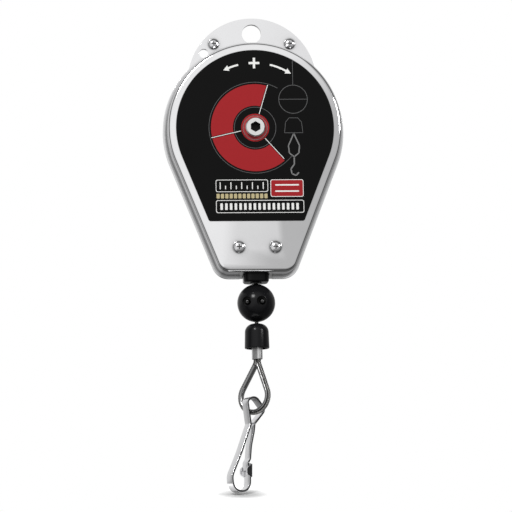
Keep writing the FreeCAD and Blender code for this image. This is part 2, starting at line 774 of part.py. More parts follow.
def make_ball():
    for name, front in (("ball_front", True), ("ball_rear", False)):
        body = new_body(name, BALL)
        half = new_sketch(body, "XZ_Plane")
        add_path(half, [("0", "-ball_r", "ball_r", 1), ("0", "ball_r")])
        spin(half, "V_Axis", angle=180, backward=front)
        bore = new_sketch(body, "XY_Plane")
        add_circles(bore, [("0", "0", "rope_r + 0.05")])
        cut(bore, "ball_r * 3", middle=True)
        holes = new_sketch(body, "XZ_Plane")
        add_circles(holes, [("-ball_screw_x", "0", "1.3"), ("ball_screw_x", "0", "1.3")])
        cut(holes, "ball_r * 3", middle=True)
        if front:
            seats = new_sketch(body, "XZ_Plane", "6.2")
            add_circles(seats, [("-ball_screw_x", "0", "3"), ("ball_screw_x", "0", "3")])
            cut(seats, "ball_r")
        else:
            seats = new_sketch(body, "XZ_Plane", "-6.2")
            add_hexagon(seats, "-ball_screw_x", "0", "5.1")
            add_hexagon(seats, "ball_screw_x", "0", "5.1")
            cut(seats, "ball_r", backward=True)
    make_ball_screws()


def make_ball_screws():
    body = new_body("ball_screws", BALL)
    spots = (("-ball_screw_x", "0"), ("ball_screw_x", "0"))
    shanks = new_sketch(body, "XZ_Plane", "6.2")
    add_circles(shanks, [(x, z, "1.25") for x, z in spots])
    pad(shanks, "14.6", backward=True)
    heads = new_sketch(body, "XZ_Plane", "6.2")
    add_circles(heads, [(x, z, "1.9") for x, z in spots])
    pad(heads, "2.4")
    recess = new_sketch(body, "XZ_Plane", "7.6")
    for x, z in spots:
        add_cross(recess, x, z, "1.2", "0.3")
    cut(recess, "3")
    body = new_body("ball_nuts", BALL)
    blanks = new_sketch(body, "XZ_Plane", "-6.2")
    for x, z in spots:
        add_hexagon(blanks, x, z, "5")
    pad(blanks, "2", backward=True)
    holes = new_sketch(body, "XZ_Plane", "-6.2")
    add_circles(holes, [(x, z, "1.3") for x, z in spots])
    cut(holes, "4", backward=True)


def make_bell():
    """Moulded cap over the top of the ferrule."""
    body = new_body("bell_cap")
    half = new_sketch(body, "XZ_Plane")
    corners = [
        ("rope_r + 0.15", "-bell_top"),
        ("rope_r + 0.15", "-bell_top - 1.8"),
        ("3.2", "-ferrule_top + 0.2"),
        ("bell_r - 1.5", "-ferrule_top + 0.2"),
        ("bell_r - 1.3", "-bell_bottom"),
        ("bell_r", "-bell_bottom", "0.5"),
        ("bell_r - 0.4", "-bell_top", "5.2"),
    ]
    add_path(half, rounded(corners))
    spin(half, "V_Axis")


def make_ferrule():
    place = "placement(vector(0; 0; -axis_drop); rotation(vector(0; 0; 1); loop_yaw))"
    body = new_body("ferrule", place)
    for radius, kind in (("(rope_r + 1.05)", pad), ("(rope_r + 0.03)", cut)):
        outline = new_sketch(body, "XY_Plane", "-ferrule_bottom")
        points = [
            ("-leg_apart", f"-{radius}"),
            ("leg_apart", f"-{radius}", radius, 1),
            ("leg_apart", radius),
            ("-leg_apart", radius, radius, 1),
        ]
        add_path(outline, points)
        made = kind(outline, "ferrule_bottom - ferrule_top")
        if kind is pad:
            ends = (number("-ferrule_bottom"), number("-ferrule_top"))
            dress("Chamfer", made, "0.4", lambda e: flat_at(e, 2, ends[0]) or flat_at(e, 2, ends[1]))


def leg_angle():
    """How far each leg of the loop leans from upright, tangent to the round of the loop."""
    reach = "hypot(leg_apart; loop_drop)"
    return f"(atan2(loop_drop; leg_apart) - acos(loop_r / {reach}))"


def make_thimble():
    """Grooved thimble, drawn in the plane of the loop about the point under the ferrule."""
    body = new_body("thimble", LOOP)
    lean = leg_angle()
    bottom = "(-loop_drop - loop_r)"
    touch_x, touch_z = f"loop_r * cos({lean})", f"-loop_drop + loop_r * sin({lean})"
    top_x = f"(thimble_back * cos({lean}) + 0.12)"
    top_z = f"-({top_x} - leg_apart) / tan({lean})"
    path = new_sketch(body, "XZ_Plane")
    add_path(path, [("0", bottom, "loop_r", 1), (touch_x, touch_z), (top_x, top_z)], closed=False)
    section = new_sketch(body, "YZ_Plane")
    half, groove = "thimble_wide / 2", "(rope_r + 0.1)"
    inner, lip = f"({bottom} + thimble_back)", f"({bottom} - 0.2)"
    points = [
        (half, lip),
        (half, inner),
        (f"-{half}", inner),
        (f"-{half}", lip),
        (f"-{groove}", lip),
        (f"-{groove}", bottom, groove, -1),
        (groove, bottom),
        (groove, lip),
    ]
    add_path(section, points)
    right = sweep(section, path)
    mirror_across(body, right)


def mirror_across(body, feature):
    """The feature and its mirror image across the body's YZ plane."""
    plane = next(o for o in body.Origin.OriginFeatures if o.Role == "YZ_Plane")
    made = body.newObject("PartDesign::Mirrored", "mirror")
    made.Originals = [feature]
    made.MirrorPlane = (plane, [""])
    body.Tip = made
    doc.recompute()
    return made


def rope_route(points, radii):
    """Straight runs joined by tangent arcs through space, as one wire."""
    edges = []
    at = points[0]
    for i in range(1, len(points) - 1):
        before = (points[i - 1] - points[i]).normalize()
        after = (points[i + 1] - points[i]).normalize()
        half = before.getAngle(after) / 2
        reach = radii[i] / math.tan(half)
        first, second = points[i] + before * reach, points[i] + after * reach
        top = points[i] + (before + after).normalize() * (radii[i] / math.sin(half) - radii[i])
        if (first - at).Length > 1e-3:
            edges.append(Part.LineSegment(at, first).toShape())
        else:
            first = at
        edges.append(Part.Arc(first, top, second).toShape())
        at = second
    edges.append(Part.LineSegment(at, points[-1]).toShape())
    return Part.Wire(edges)


def make_load_cable():
    """One rope: down through the ball and cap, through the ferrule, round the thimble and back."""
    loop = sheet.evalExpression(bound(LOOP))
    drop, radius = number("loop_drop"), number("loop_r")
    apart, lean = number("leg_apart"), math.radians(number(leg_angle()))
    left, right = (loop.multVec(FreeCAD.Vector(side * apart, 0, 0)) for side in (-1, 1))
    base = -number("axis_drop")
    points = [FreeCAD.Vector(0, 0, base - number("guide_bottom + 0.25"))]
    radii = [0]
    points.append(FreeCAD.Vector(0, 0, base - number("ferrule_top - 4.7")))
    points.append(FreeCAD.Vector(left.x, left.y, base - number("ferrule_top - 1.7")))
    radii += [8, 8]
    points.append(left)
    radii.append(6)
    sweep_angle = math.pi + 2 * lean
    for k in range(3):
        angle = math.pi - lean + (k + 0.5) * sweep_angle / 3
        reach = radius / math.cos(sweep_angle / 6)
        spot = FreeCAD.Vector(reach * math.cos(angle), 0, reach * math.sin(angle) - drop)
        points.append(loop.multVec(spot))
        radii.append(radius)
    points.append(right)
    radii.append(6)
    points.append(FreeCAD.Vector(right.x, right.y, base - number("ferrule_top - 0.2")))
    radii.append(0)
    spine = rope_route(points, radii)
    ring = Part.Wire(Part.Circle(points[0], FreeCAD.Vector(0, 0, 1), number("rope_r")).toShape())
    keep_rope("load_cable", spine.makePipeShell([ring], True, False), spine.Length)


HOOK_PATH = [
    ("-1.7", "-25"),
    ("-2.05", "-33", "40"),
    ("-2.3", "-42.75", "6.3"),
    ("-15.4", "-42.75", "6"),
    ("-16.3", "-33.4", "8"),
    ("-8.4", "-17.9", "20"),
    ("-0.65", "-0.1", "0.8"),
    ("-2.9", "14.6", "2.2"),
    ("3", "18.6", "5"),
    ("11.2", "9.6", "3"),
    ("2.7", "0.6"),
]
GATE_PATH = [
    ("2.5", "0"),
    ("1.75", "-4.8", "10"),
    ("-0.65", "-13.7", "20"),
    ("-1.6", "-22", "2"),
    ("-3.35", "-24.6", "2"),
    ("-3.5", "-29.5"),
]


def make_strip(body, corners, wide):
    """Flat strip bent along the corners, in the plane of the hook."""
    path = new_sketch(body, "XZ_Plane")
    add_path(path, rounded(corners, closed=False), closed=False)
    section = new_sketch(body, "XY_Plane", corners[0][1])
    middle, half = corners[0][0], "hook_thick / 2"
    add_box(section, f"{middle} - {half}", f"{middle} + {half}", f"-{wide} / 2", f"{wide} / 2")
    return sweep(section, path)


def make_hook():
    body = new_body("snap_hook", HOOK)
    make_strip(body, HOOK_PATH, "hook_wide")
    for side in (1, -1):
        ear = new_sketch(body, "XZ_Plane", f"{side} * (hook_wide / 2 + 0.5)")
        corners = [("-1.1", "-25", "0.4"), ("-5.3", "-28.2", "1"), ("-5.3", "-32", "1"), ("-1.4", "-34", "0.4")]
        add_path(ear, rounded(corners))
        pad(ear, "1", middle=True)
    gate = new_body("hook_gate", HOOK)
    make_strip(gate, GATE_PATH, "(hook_wide - 0.4)")


# ---------------------------------------------------------------- build

make_shell("front_shell", True)
make_shell("rear_shell", False)
make_label()
crown = ("crown_screw_x", "crown_screw_z")
foot = ("body_screw_x", "-body_screw_z")
make_pan_screws("crown_screws", *crown, "crown_screw_r", "crown_head_r", "sheet", "sheet * 2 + 3.4", "2.3")
make_nuts("crown_nuts", *crown, "crown_screw_r + 0.05", "6", "sheet", "2.8")
make_pan_screws("body_screws", *foot, "body_screw_r", "body_head_r", "half_depth", "half_depth * 2 + 4", "2.6")
make_nuts("body_nuts", *foot, "body_screw_r + 0.05", "7", "half_depth", "3.2")
make_bushes()
make_click()
make_spindle()
make_ratchet()
make_drum()
make_cover()
make_spring()
make_wound_cable()
make_run()
make_guide()
make_ball()
make_bell()
make_ferrule()
make_thimble()
make_load_cable()
make_hook()
doc.recompute()

for thing in doc.Objects:
    if "Invalid" in thing.State or "Error" in thing.State:
        raise ValueError(f"{thing.Label} ({thing.Name}) is {thing.State}")
for part in PARTS:
    if part.Shape.isNull() or not part.Shape.isValid() or not part.Shape.Solids:
        raise ValueError(f"{part.Label} has no valid solid")

os.makedirs("parts", exist_ok=True)
for part in PARTS:
    part.Shape.exportStep(f"parts/{part.Label}.step")
    print(part.Label, len(part.Shape.Solids), round(part.Shape.Volume, 1))
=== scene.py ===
import math

import bmesh
import bpy
from mathutils import Matrix, Vector


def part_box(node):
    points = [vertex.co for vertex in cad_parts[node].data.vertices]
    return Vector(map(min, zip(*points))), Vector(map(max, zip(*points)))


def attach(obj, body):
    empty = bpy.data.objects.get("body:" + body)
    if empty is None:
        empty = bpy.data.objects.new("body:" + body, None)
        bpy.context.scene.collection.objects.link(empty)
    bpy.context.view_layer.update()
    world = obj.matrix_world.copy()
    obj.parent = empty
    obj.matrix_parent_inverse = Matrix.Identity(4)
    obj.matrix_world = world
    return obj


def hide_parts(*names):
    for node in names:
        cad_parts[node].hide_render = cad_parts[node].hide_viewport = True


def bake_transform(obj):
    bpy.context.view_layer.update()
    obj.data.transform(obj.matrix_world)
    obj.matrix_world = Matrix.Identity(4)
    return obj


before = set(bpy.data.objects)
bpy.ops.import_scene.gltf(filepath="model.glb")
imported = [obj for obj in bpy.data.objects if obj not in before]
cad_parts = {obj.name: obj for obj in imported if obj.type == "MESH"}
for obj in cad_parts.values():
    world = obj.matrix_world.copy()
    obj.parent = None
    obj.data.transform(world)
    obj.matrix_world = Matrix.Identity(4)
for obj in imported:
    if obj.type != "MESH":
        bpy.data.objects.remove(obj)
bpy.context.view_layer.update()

MM = 0.001


def lowest(node):
    """Lowest corner of a node's box, in mm."""
    return [round(v / MM, 2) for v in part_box(node)[0]]


def highest(node):
    return [round(v / MM, 2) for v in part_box(node)[1]]


def middle(node):
    return [round((a + b) / 2, 2) for a, b in zip(lowest(node), highest(node))]


# All sizes are in mm and angles in degrees, unless a name says otherwise.
AXIS = middle("drum_cover")[2]            # height of the spindle's axis
FACE = lowest("front_shell")[1]           # front face of the housing
SHEET = 1.5                               # thickness of the pressed sheet
DISH = (55.3, 91.8, 9.0)                  # round, depth below the axis and corner radius
RIM = (57.5, 94.0, 11.2)
FACE_ROUND = 2.5                          # bend between the face and the wall
ROOT_ROUND = 1.4                          # bend between the wall and the rim
SIDE_LEAN = 21.7
CROWN_R = 41.0
CROWN_UP = 32.8
HANG_HOLE_R = 6.15
SAFETY_HOLE_R = 3.0
SAFETY_HOLE = (-30.6, AXIS + 51.2)
CROWN_SCREW = (24.3, middle("crown_screws")[2])
BODY_SCREW = (11.55, middle("body_screws")[2])
BALL_R = 12.0
BALL_HEIGHT = middle("ball_front")[2]
BALL_SCREW_X = 4.7
CABLE_R = 1.25
BELL_TOP, BELL_BOTTOM = highest("bell_cap")[2], lowest("bell_cap")[2]
FERRULE_LONG = 14.1
LEG_X = 1.3                               # from the middle of the loop to the middle of a leg
LOOP_R = 10.6                             # middle of the cable round the thimble
LOOP_DROP = 21.55                         # from the ferrule's end to the middle of that round
STRAND_LAY = 40                           # degrees the strands turn in a mm
STRIP_THICK, STRIP_WIDE, GATE_WIDE = 1.3, 5.5, 5.1
LABEL_FACE = lowest("face_label")[1]
PRINT_THICK = 0.03                        # thickness of a printed layer, before its lift


# ------------------------------------------------------------ materials

def material(name, colour, rough, metal=0.0, coat=0.0, bump=0.0, scale=400.0, wear=0.0,
             stretch=(1, 1, 1), spread=0.05, specular=0.5, wave=0.0, corner_shade=0.0, reach=0.003):
    """A finish with fine unevenness in its colour, gloss and surface.

    wave is the slow waviness of a pressed face. The corner shade argument paints shade, darkening corners
    and recesses up to reach metres wide.
    """
    made = bpy.data.materials.new(name)
    made.use_nodes = True
    nodes, links = made.node_tree.nodes, made.node_tree.links
    shader = nodes["Principled BSDF"]
    shader.inputs["Metallic"].default_value = metal
    shader.inputs["Coat Weight"].default_value = coat
    shader.inputs["Coat Roughness"].default_value = 0.08
    shader.inputs["Specular IOR Level"].default_value = specular
    place = nodes.new("ShaderNodeTexCoord")
    turn = nodes.new("ShaderNodeMapping")
    turn.inputs["Scale"].default_value = stretch
    links.new(place.outputs["Object"], turn.inputs["Vector"])
    grain = nodes.new("ShaderNodeTexNoise")
    grain.inputs["Scale"].default_value = scale
    grain.inputs["Detail"].default_value = 6.0
    links.new(turn.outputs["Vector"], grain.inputs["Vector"])
    cloud = nodes.new("ShaderNodeTexNoise")
    cloud.inputs["Scale"].default_value = 28.0
    cloud.inputs["Detail"].default_value = 3.0
    links.new(turn.outputs["Vector"], cloud.inputs["Vector"])
    gloss = nodes.new("ShaderNodeMapRange")
    gloss.inputs["To Min"].default_value = max(rough - spread, 0.02)
    gloss.inputs["To Max"].default_value = rough + spread
    links.new(cloud.outputs["Fac"], gloss.inputs["Value"])
    links.new(gloss.outputs["Result"], shader.inputs["Roughness"])
    tint = nodes.new("ShaderNodeMix")
    tint.data_type = "RGBA"
    dark = [c * (0.93 - wear) for c in colour]
    tint.inputs[6].default_value = (*dark, 1)
    tint.inputs[7].default_value = (*colour, 1)
    links.new(grain.outputs["Fac"], tint.inputs["Factor"])
    links.new(tint.outputs[2], shader.inputs["Base Color"])
    # painted shade: an ambient occlusion mask darkens the colour towards black in corners and recesses
    if corner_shade:
        corner = nodes.new("ShaderNodeAmbientOcclusion")
        corner.samples = 8
        corner.inputs["Distance"].default_value = reach
        painted_shade = nodes.new("ShaderNodeMapRange")
        painted_shade.inputs["From Min"].default_value = 0.45
        painted_shade.inputs["From Max"].default_value = 0.92
        painted_shade.inputs["To Min"].default_value = 1.0 - corner_shade
        links.new(corner.outputs["AO"], painted_shade.inputs["Value"])
        shaded_tint = nodes.new("ShaderNodeMix")
        shaded_tint.data_type = "RGBA"
        shaded_tint.inputs[6].default_value = (0, 0, 0, 1)
        links.new(painted_shade.outputs["Result"], shaded_tint.inputs["Factor"])
        links.new(tint.outputs[2], shaded_tint.inputs[7])
        links.new(shaded_tint.outputs[2], shader.inputs["Base Color"])
    if wave:
        swell = nodes.new("ShaderNodeTexNoise")
        swell.inputs["Scale"].default_value = 16.0
        swell.inputs["Detail"].default_value = 0.0
        links.new(turn.outputs["Vector"], swell.inputs["Vector"])
        relief = nodes.new("ShaderNodeBump")
        relief.inputs["Strength"].default_value = wave
        relief.inputs["Distance"].default_value = 0.0006
        links.new(swell.outputs["Fac"], relief.inputs["Height"])
        links.new(relief.outputs["Normal"], shader.inputs["Normal"])
    if bump:
        relief = nodes.new("ShaderNodeBump")
        relief.inputs["Strength"].default_value = bump
        relief.inputs["Distance"].default_value = 0.00005
        links.new(grain.outputs["Fac"], relief.inputs["Height"])
        links.new(relief.outputs["Normal"], shader.inputs["Normal"])
    return made


# the corner shade of these finishes is painted shade in their corners, recesses and between strands
CHROME = material("bright_plate", (0.88, 0.88, 0.89), 0.07, 1.0, scale=60, spread=0.02, wave=0.5,
                  corner_shade=0.8, reach=0.0035)
# darker copy of the bright plate: painted shade for the dish walls and the lower rim edges
SHADED_PLATE = material("plate_painted_shade", (0.30, 0.30, 0.305), 0.12, 1.0, scale=60, spread=0.02,
                corner_shade=0.9, reach=0.009)
ZINC = material("zinc_screw", (0.74, 0.74, 0.75), 0.16, 1.0, bump=0.2, scale=900,
                corner_shade=0.85, reach=0.0012)
# dark copy of the strip metal: painted shade on the strip's edges and the ears' outer faces
EDGE_SHADE = material("strip_edge_painted_shade", (0.13, 0.13, 0.135), 0.30, 1.0, bump=0.3, scale=900)
STRIP = material("plated_strip", (0.80, 0.80, 0.81), 0.16, 1.0, bump=0.15, scale=500)
ROPE = material("rope_wire", (0.26, 0.257, 0.25), 0.30, 1.0, bump=0.4, scale=1800, wear=0.15,
                corner_shade=0.92, reach=0.0008)
CRIMP = material("pressed_crimp", (0.66, 0.66, 0.66), 0.34, 1.0, bump=0.4, scale=700)
BLACK = material("black_moulding", (0.008, 0.008, 0.009), 0.20, bump=0.12, scale=900, specular=0.16)
INK = material("label_black", (0.004, 0.004, 0.004), 0.40, bump=0.05, scale=1500, specular=0.06)
RED = material("label_red", (0.34, 0.016, 0.020), 0.42, scale=700, specular=0.10)
WHITE = material("label_white", (0.82, 0.82, 0.80), 0.4, scale=700, specular=0.2)
PALE = material("label_pale_grey", (0.19, 0.19, 0.19), 0.4, scale=700, specular=0.15)
GREY = material("label_grey", (0.11, 0.11, 0.112), 0.4, scale=700, specular=0.15)
CREAM = material("label_cream", (0.50, 0.43, 0.24), 0.42, scale=700, specular=0.15)
STEEL = material("turned_steel", (0.86, 0.86, 0.85), 0.14, 1.0, bump=0.1, scale=300,
                 stretch=(1, 12, 1), corner_shade=0.6, reach=0.002)
# near-black painted shade for the inside of the key socket
SOCKET_SHADE = material("socket_painted_shade", (0.02, 0.02, 0.02), 0.45, bump=0.3, scale=700, specular=0.2)
CAST = material("cast_alloy", (0.56, 0.57, 0.58), 0.45, 1.0, bump=0.5, scale=500)
THIMBLE = material("pressed_thimble", (0.34, 0.34, 0.34), 0.24, 1.0, bump=0.3, scale=600)
# dark steel for the ball's screws: painted shade standing for their deep recesses
DARK_SCREW_SHADE = material("screw_painted_shade", (0.09, 0.09, 0.09), 0.3, 1.0, bump=0.2, scale=900)
BLUED = material("spring_steel", (0.16, 0.17, 0.22), 0.28, 1.0, bump=0.2, scale=600)
BRONZE = material("sintered_bush", (0.42, 0.28, 0.13), 0.5, 1.0, bump=0.5, scale=1200)
NYLON = material("red_nylon_bush", (0.40, 0.03, 0.035), 0.38, bump=0.2, scale=900, specular=0.3)

NODE_FINISH = {
    "face_label": INK, "front_bush": NYLON, "rear_bush": BRONZE, "thrust_washer": BRONZE,
    "click_leaf": BLUED, "click_rivets": ZINC, "ratchet_wheel": STEEL, "circlip": BLUED,
    "cable_drum": CAST, "drum_cover": CAST, "cover_screws": ZINC, "spring_post": STEEL,
    "power_spring": BLUED, "wound_cable": ROPE, "cable_anchor": CRIMP, "cable_run": ROPE,
    "outlet_guide": BLACK, "adjusting_spindle": STEEL, "front_shell": CHROME, "rear_shell": CHROME,
    "crown_screws": ZINC, "crown_nuts": ZINC, "body_screws": ZINC, "body_nuts": ZINC,
    "ball_front": BLACK, "ball_rear": BLACK, "ball_screws": DARK_SCREW_SHADE, "ball_nuts": ZINC,
    "bell_cap": BLACK, "ferrule": CRIMP, "thimble": THIMBLE, "load_cable": ROPE,
    "snap_hook": STRIP, "hook_gate": STRIP,
}
for node, finish in NODE_FINISH.items():
    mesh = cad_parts[node].data
    mesh.materials.clear()
    mesh.materials.append(finish)


# ------------------------------------------------------------ shaping

def finish_piece(name, bm, finish, body=None, stands_for=(), smooth=35.0):
    """Turns a bmesh in millimetres into a piece that rides on a body, if one is named."""
    bmesh.ops.remove_doubles(bm, verts=bm.verts, dist=1e-5)
    bmesh.ops.scale(bm, vec=(MM, MM, MM), verts=bm.verts)
    bmesh.ops.recalc_face_normals(bm, faces=bm.faces)
    mesh = bpy.data.meshes.new(name)
    bm.to_mesh(mesh)
    bm.free()
    mesh.materials.append(finish)
    for face in mesh.polygons:
        face.use_smooth = True
    mesh.set_sharp_from_angle(angle=math.radians(smooth))
    piece = bpy.data.objects.new(name, mesh)
    bpy.context.scene.collection.objects.link(piece)
    if body:
        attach(piece, body)
    if stands_for:
        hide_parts(*stands_for)
    return piece


def toward_front(x=0.0, y=0.0, z=0.0):
    """Places a shape made about Z so that its +Z points to the front."""
    return Matrix.Translation((x, y, z)) @ Matrix.Rotation(math.radians(90), 4, "X")


def drum_solid(bm, radius, y0, y1, x=0.0, z=0.0, segments=64, far_radius=None):
    """A round solid along Y from y0 (front) to y1."""
    return bmesh.ops.create_cone(
        bm, cap_ends=True, segments=segments, radius1=far_radius or radius, radius2=radius,
        depth=y1 - y0, matrix=toward_front(x, (y0 + y1) / 2, z))["verts"]


def hull_prism(bm, rounds, y0, y1):
    """The tight outline round several discs (x, z, radius, segments), as a prism from y0 to y1."""
    verts = []
    for x, z, radius, segments in rounds:
        for y in (y0, y1):
            verts += bmesh.ops.create_circle(bm, cap_ends=False, segments=segments, radius=radius,
                                             matrix=toward_front(x, y, z))["verts"]
    made = bmesh.ops.convex_hull(bm, input=verts, use_existing_faces=False)
    spare = {v for v in made["geom_interior"] + made["geom_unused"] if isinstance(v, bmesh.types.BMVert)}
    bmesh.ops.delete(bm, geom=[v for v in spare if v.is_valid], context="VERTS")
    bmesh.ops.delete(bm, geom=[v for v in bm.verts if not v.link_faces], context="VERTS")
    bmesh.ops.dissolve_limit(bm, angle_limit=math.radians(0.2), verts=bm.verts, edges=bm.edges)
    return bm


def bevel_where(bm, wanted, width, segments):
    """Rounds the edges that wanted picks."""
    edges = [e for e in bm.edges if wanted(e)]
    bmesh.ops.bevel(bm, geom=edges, offset=width, offset_type="OFFSET", affect="EDGES",
                    segments=segments, profile=0.5, material=-1, clamp_overlap=True)


def at_y(spot):
    """Picks the edges that lie in the plane y = spot."""
    return lambda e: all(abs(v.co.y - spot) < 1e-4 for v in e.verts)


def is_hollow(edge):
    """True for an edge at the bottom of a square inside corner."""
    return len(edge.link_faces) == 2 and edge.calc_face_angle_signed() < -1.2


def dish_rounds(radius, bottom, corner, segments=160):
    """The three discs that a dish's outline goes round."""
    lean = math.radians(SIDE_LEAN)
    across = (radius - corner - (bottom - corner) * math.sin(lean)) / math.cos(lean)
    low = AXIS - (bottom - corner)
    return [(0, AXIS, radius, segments), (-across, low, corner, 72), (across, low, corner, 72)]


def boolean(target, tools, operation="DIFFERENCE"):
    """Joins or cuts a mesh object with others, which are then removed."""
    for tool in tools:
        step = target.modifiers.new("step", "BOOLEAN")
        step.object = tool
        step.operation = operation
        step.solver = "EXACT"
        bpy.context.view_layer.update()
        ready = target.evaluated_get(bpy.context.evaluated_depsgraph_get())
        mesh = bpy.data.meshes.new_from_object(ready)
        target.modifiers.clear()
        target.data = mesh
        bpy.data.objects.remove(tool)
    return target


def blank(bm):
    """A plain object in millimetres for a boolean."""
    bmesh.ops.recalc_face_normals(bm, faces=bm.faces)
    mesh = bpy.data.meshes.new("blank")
    bm.to_mesh(mesh)
    bm.free()
    thing = bpy.data.objects.new("blank", mesh)
    bpy.context.scene.collection.objects.link(thing)
    return thing


def back_to_bmesh(thing):
    bm = bmesh.new()
    bm.from_mesh(thing.data)
    bpy.data.objects.remove(thing)
    return bm


def box_blank(low, high):
    bm = bmesh.new()
    size = [b - a for a, b in zip(low, high)]
    centre = [(a + b) / 2 for a, b in zip(low, high)]
    bmesh.ops.create_cube(bm, size=1.0, matrix=Matrix.Translation(centre) @ Matrix.Diagonal((*size, 1)))
    return blank(bm)


def round_blank(radius, y0, y1, x=0.0, z=0.0, segments=64):
    bm = bmesh.new()
    drum_solid(bm, radius, y0, y1, x, z, segments)
    return blank(bm)


def soft_edges(piece, width, segments, above, harden=True):
    """Eases every edge sharper than above degrees; width in mm."""
    ease = piece.modifiers.new("edges", "BEVEL")
    ease.width = width * MM
    ease.segments = segments
    ease.limit_method = "ANGLE"
    ease.angle_limit = math.radians(above)
    ease.harden_normals = harden


def spun(points, axis_point=(0, 0, 0), axis=(0, 0, 1), steps=96, place=None):
    """A turned shape from a closed or open profile in the XZ plane."""
    bm = bmesh.new()
    verts = [bm.verts.new(p) for p in points]
    edges = [bm.edges.new((a, b)) for a, b in zip(verts, verts[1:])]
    bmesh.ops.spin(bm, geom=verts + edges, cent=axis_point, axis=axis, angle=math.tau,
                   steps=steps, use_merge=True)
    bmesh.ops.remove_doubles(bm, verts=bm.verts, dist=1e-4)
    if place:
        bmesh.ops.transform(bm, matrix=place, verts=bm.verts)
    bmesh.ops.recalc_face_normals(bm, faces=bm.faces)
    return bm


def softened(points, radii, steps=6):
    """Profile points with rounded corners: radii holds one radius a corner, 0 for sharp."""
    out = []
    count = len(points)
    for i, point in enumerate(points):
        radius = radii[i]
        if not radius or i in (0, count - 1):
            out.append(Vector(point))
            continue
        here = Vector(point)
        before = (Vector(points[i - 1]) - here).normalized()
        after = (Vector(points[i + 1]) - here).normalized()
        half = before.angle(after) / 2
        reach = radius / math.tan(half)
        centre = here + (before + after).normalized() * (radius / math.sin(half))
        start, end = here + before * reach - centre, here + after * reach - centre
        for k in range(steps + 1):
            out.append(centre + start.normalized().slerp(end.normalized(), k / steps) * radius)
    return out


# ------------------------------------------------------------ housing

def shell_cuts(front):
    """The hollow, the holes and the notch of a dish, as tools to cut with."""
    side = 1 if front else -1
    inside = [size - SHEET for size in DISH]
    cuts = [
        blank(hull_prism(bmesh.new(), dish_rounds(*inside), FACE + SHEET, 1.0)),
        round_blank(HANG_HOLE_R, -5, 5, 0, 0, 96),
        round_blank(SAFETY_HOLE_R, -5, 5, SAFETY_HOLE[0] * side, SAFETY_HOLE[1]),
        round_blank(1.85, -5, 5, -CROWN_SCREW[0], CROWN_SCREW[1]),
        round_blank(1.85, -5, 5, CROWN_SCREW[0], CROWN_SCREW[1]),
        round_blank(2.1, -19, -14, -BODY_SCREW[0], BODY_SCREW[1]),
        round_blank(2.1, -19, -14, BODY_SCREW[0], BODY_SCREW[1]),
        round_blank(7.6 if front else 5.6, -19, -14, 0, AXIS),
        box_blank((-10.3, -2.6, AXIS - 97), (10.3, 1, AXIS - 91.85)),
        box_blank((-8.3, -8.3, AXIS - 94), (8.3, 1, AXIS - 86)),
    ]
    if not front:
        cuts += [round_blank(1.55, -19, -14, -20, AXIS - drop) for drop in (18.5, 25.5)]
    return cuts


def shell(name, node, front):
    """One pressed dish with its rim and crown, every edge softly rounded."""
    bm = hull_prism(bmesh.new(), dish_rounds(*DISH), FACE, -0.5)
    bevel_where(bm, at_y(FACE), FACE_ROUND, 10)
    dish = blank(bm)
    rim = blank(hull_prism(bmesh.new(), dish_rounds(*RIM), -SHEET, 0))
    crown = round_blank(CROWN_R, -SHEET, 0, 0, AXIS + CROWN_UP, 200)
    whole = boolean(rim, [crown], "UNION")
    bm = back_to_bmesh(boolean(whole, [dish], "UNION"))
    bmesh.ops.recalc_face_normals(bm, faces=bm.faces)
    bevel_where(bm, lambda e: at_y(-SHEET)(e) and is_hollow(e), ROOT_ROUND, 8)
    bm = back_to_bmesh(boolean(blank(bm), shell_cuts(front)))
    bmesh.ops.remove_doubles(bm, verts=bm.verts, dist=1e-3)
    if not front:
        bmesh.ops.rotate(bm, matrix=Matrix.Rotation(math.pi, 3, "Z"), verts=bm.verts)
    piece = finish_piece(name, bm, CHROME, "housing", [node])
    # painted shade: the dish walls, the rim edge below the axis and the hang hole's edge take the darker
    # copy of the plate
    piece.data.materials.append(SHADED_PLATE)
    for face in piece.data.polygons:
        spot = face.center / MM
        upright = abs(face.normal.y) < 0.75
        wall = SHEET + 0.05 < abs(spot.y) < 16.0
        shaded_edge = abs(spot.y) <= SHEET + 0.05 and (spot.z < AXIS or math.hypot(spot.x, spot.z) < 7)
        face.material_index = 1 if upright and (wall or shaded_edge) else 0
    soft_edges(piece, 0.3, 3, 50)


shell("front_dish", "front_shell", True)
shell("rear_dish", "rear_shell", False)


def pan_screw(place, head, tall, shank, grip):
    """A cross-recessed pan head and its shank, standing on the origin of place."""
    profile = softened([(0, 0, tall), (head * 0.5, 0, tall * 0.97), (head, 0, tall * 0.62), (head, 0, 0),
                        (shank, 0, 0), (shank, 0, -grip + 0.4), (shank - 0.4, 0, -grip), (0, 0, -grip)],
                       [0, 1.5, head * 0.35, 0.12, 0, 0, 0, 0])
    screw = blank(spun(profile, steps=64, place=place))
    top = place @ Matrix.Translation((0, 0, tall))
    tools = []
    for turn in (0, 90):
        bm = bmesh.new()
        size = Matrix.Diagonal((head * 1.15, head * 0.26, tall * 1.5, 1))
        wing = Matrix.Rotation(math.radians(turn), 4, "Z") @ size
        made = bmesh.ops.create_cube(bm, size=1.0, matrix=wing)
        for vert in made["verts"]:
            if vert.co.z < 0:
                vert.co.x *= 0.45
                vert.co.y *= 0.45
        bmesh.ops.transform(bm, matrix=top, verts=bm.verts)
        tools.append(blank(bm))
    return boolean(screw, tools)


def joined(things):
    """Several plain objects as one bmesh."""
    bm = bmesh.new()
    for thing in things:
        bm.from_mesh(thing.data)
        bpy.data.objects.remove(thing)
    return bm


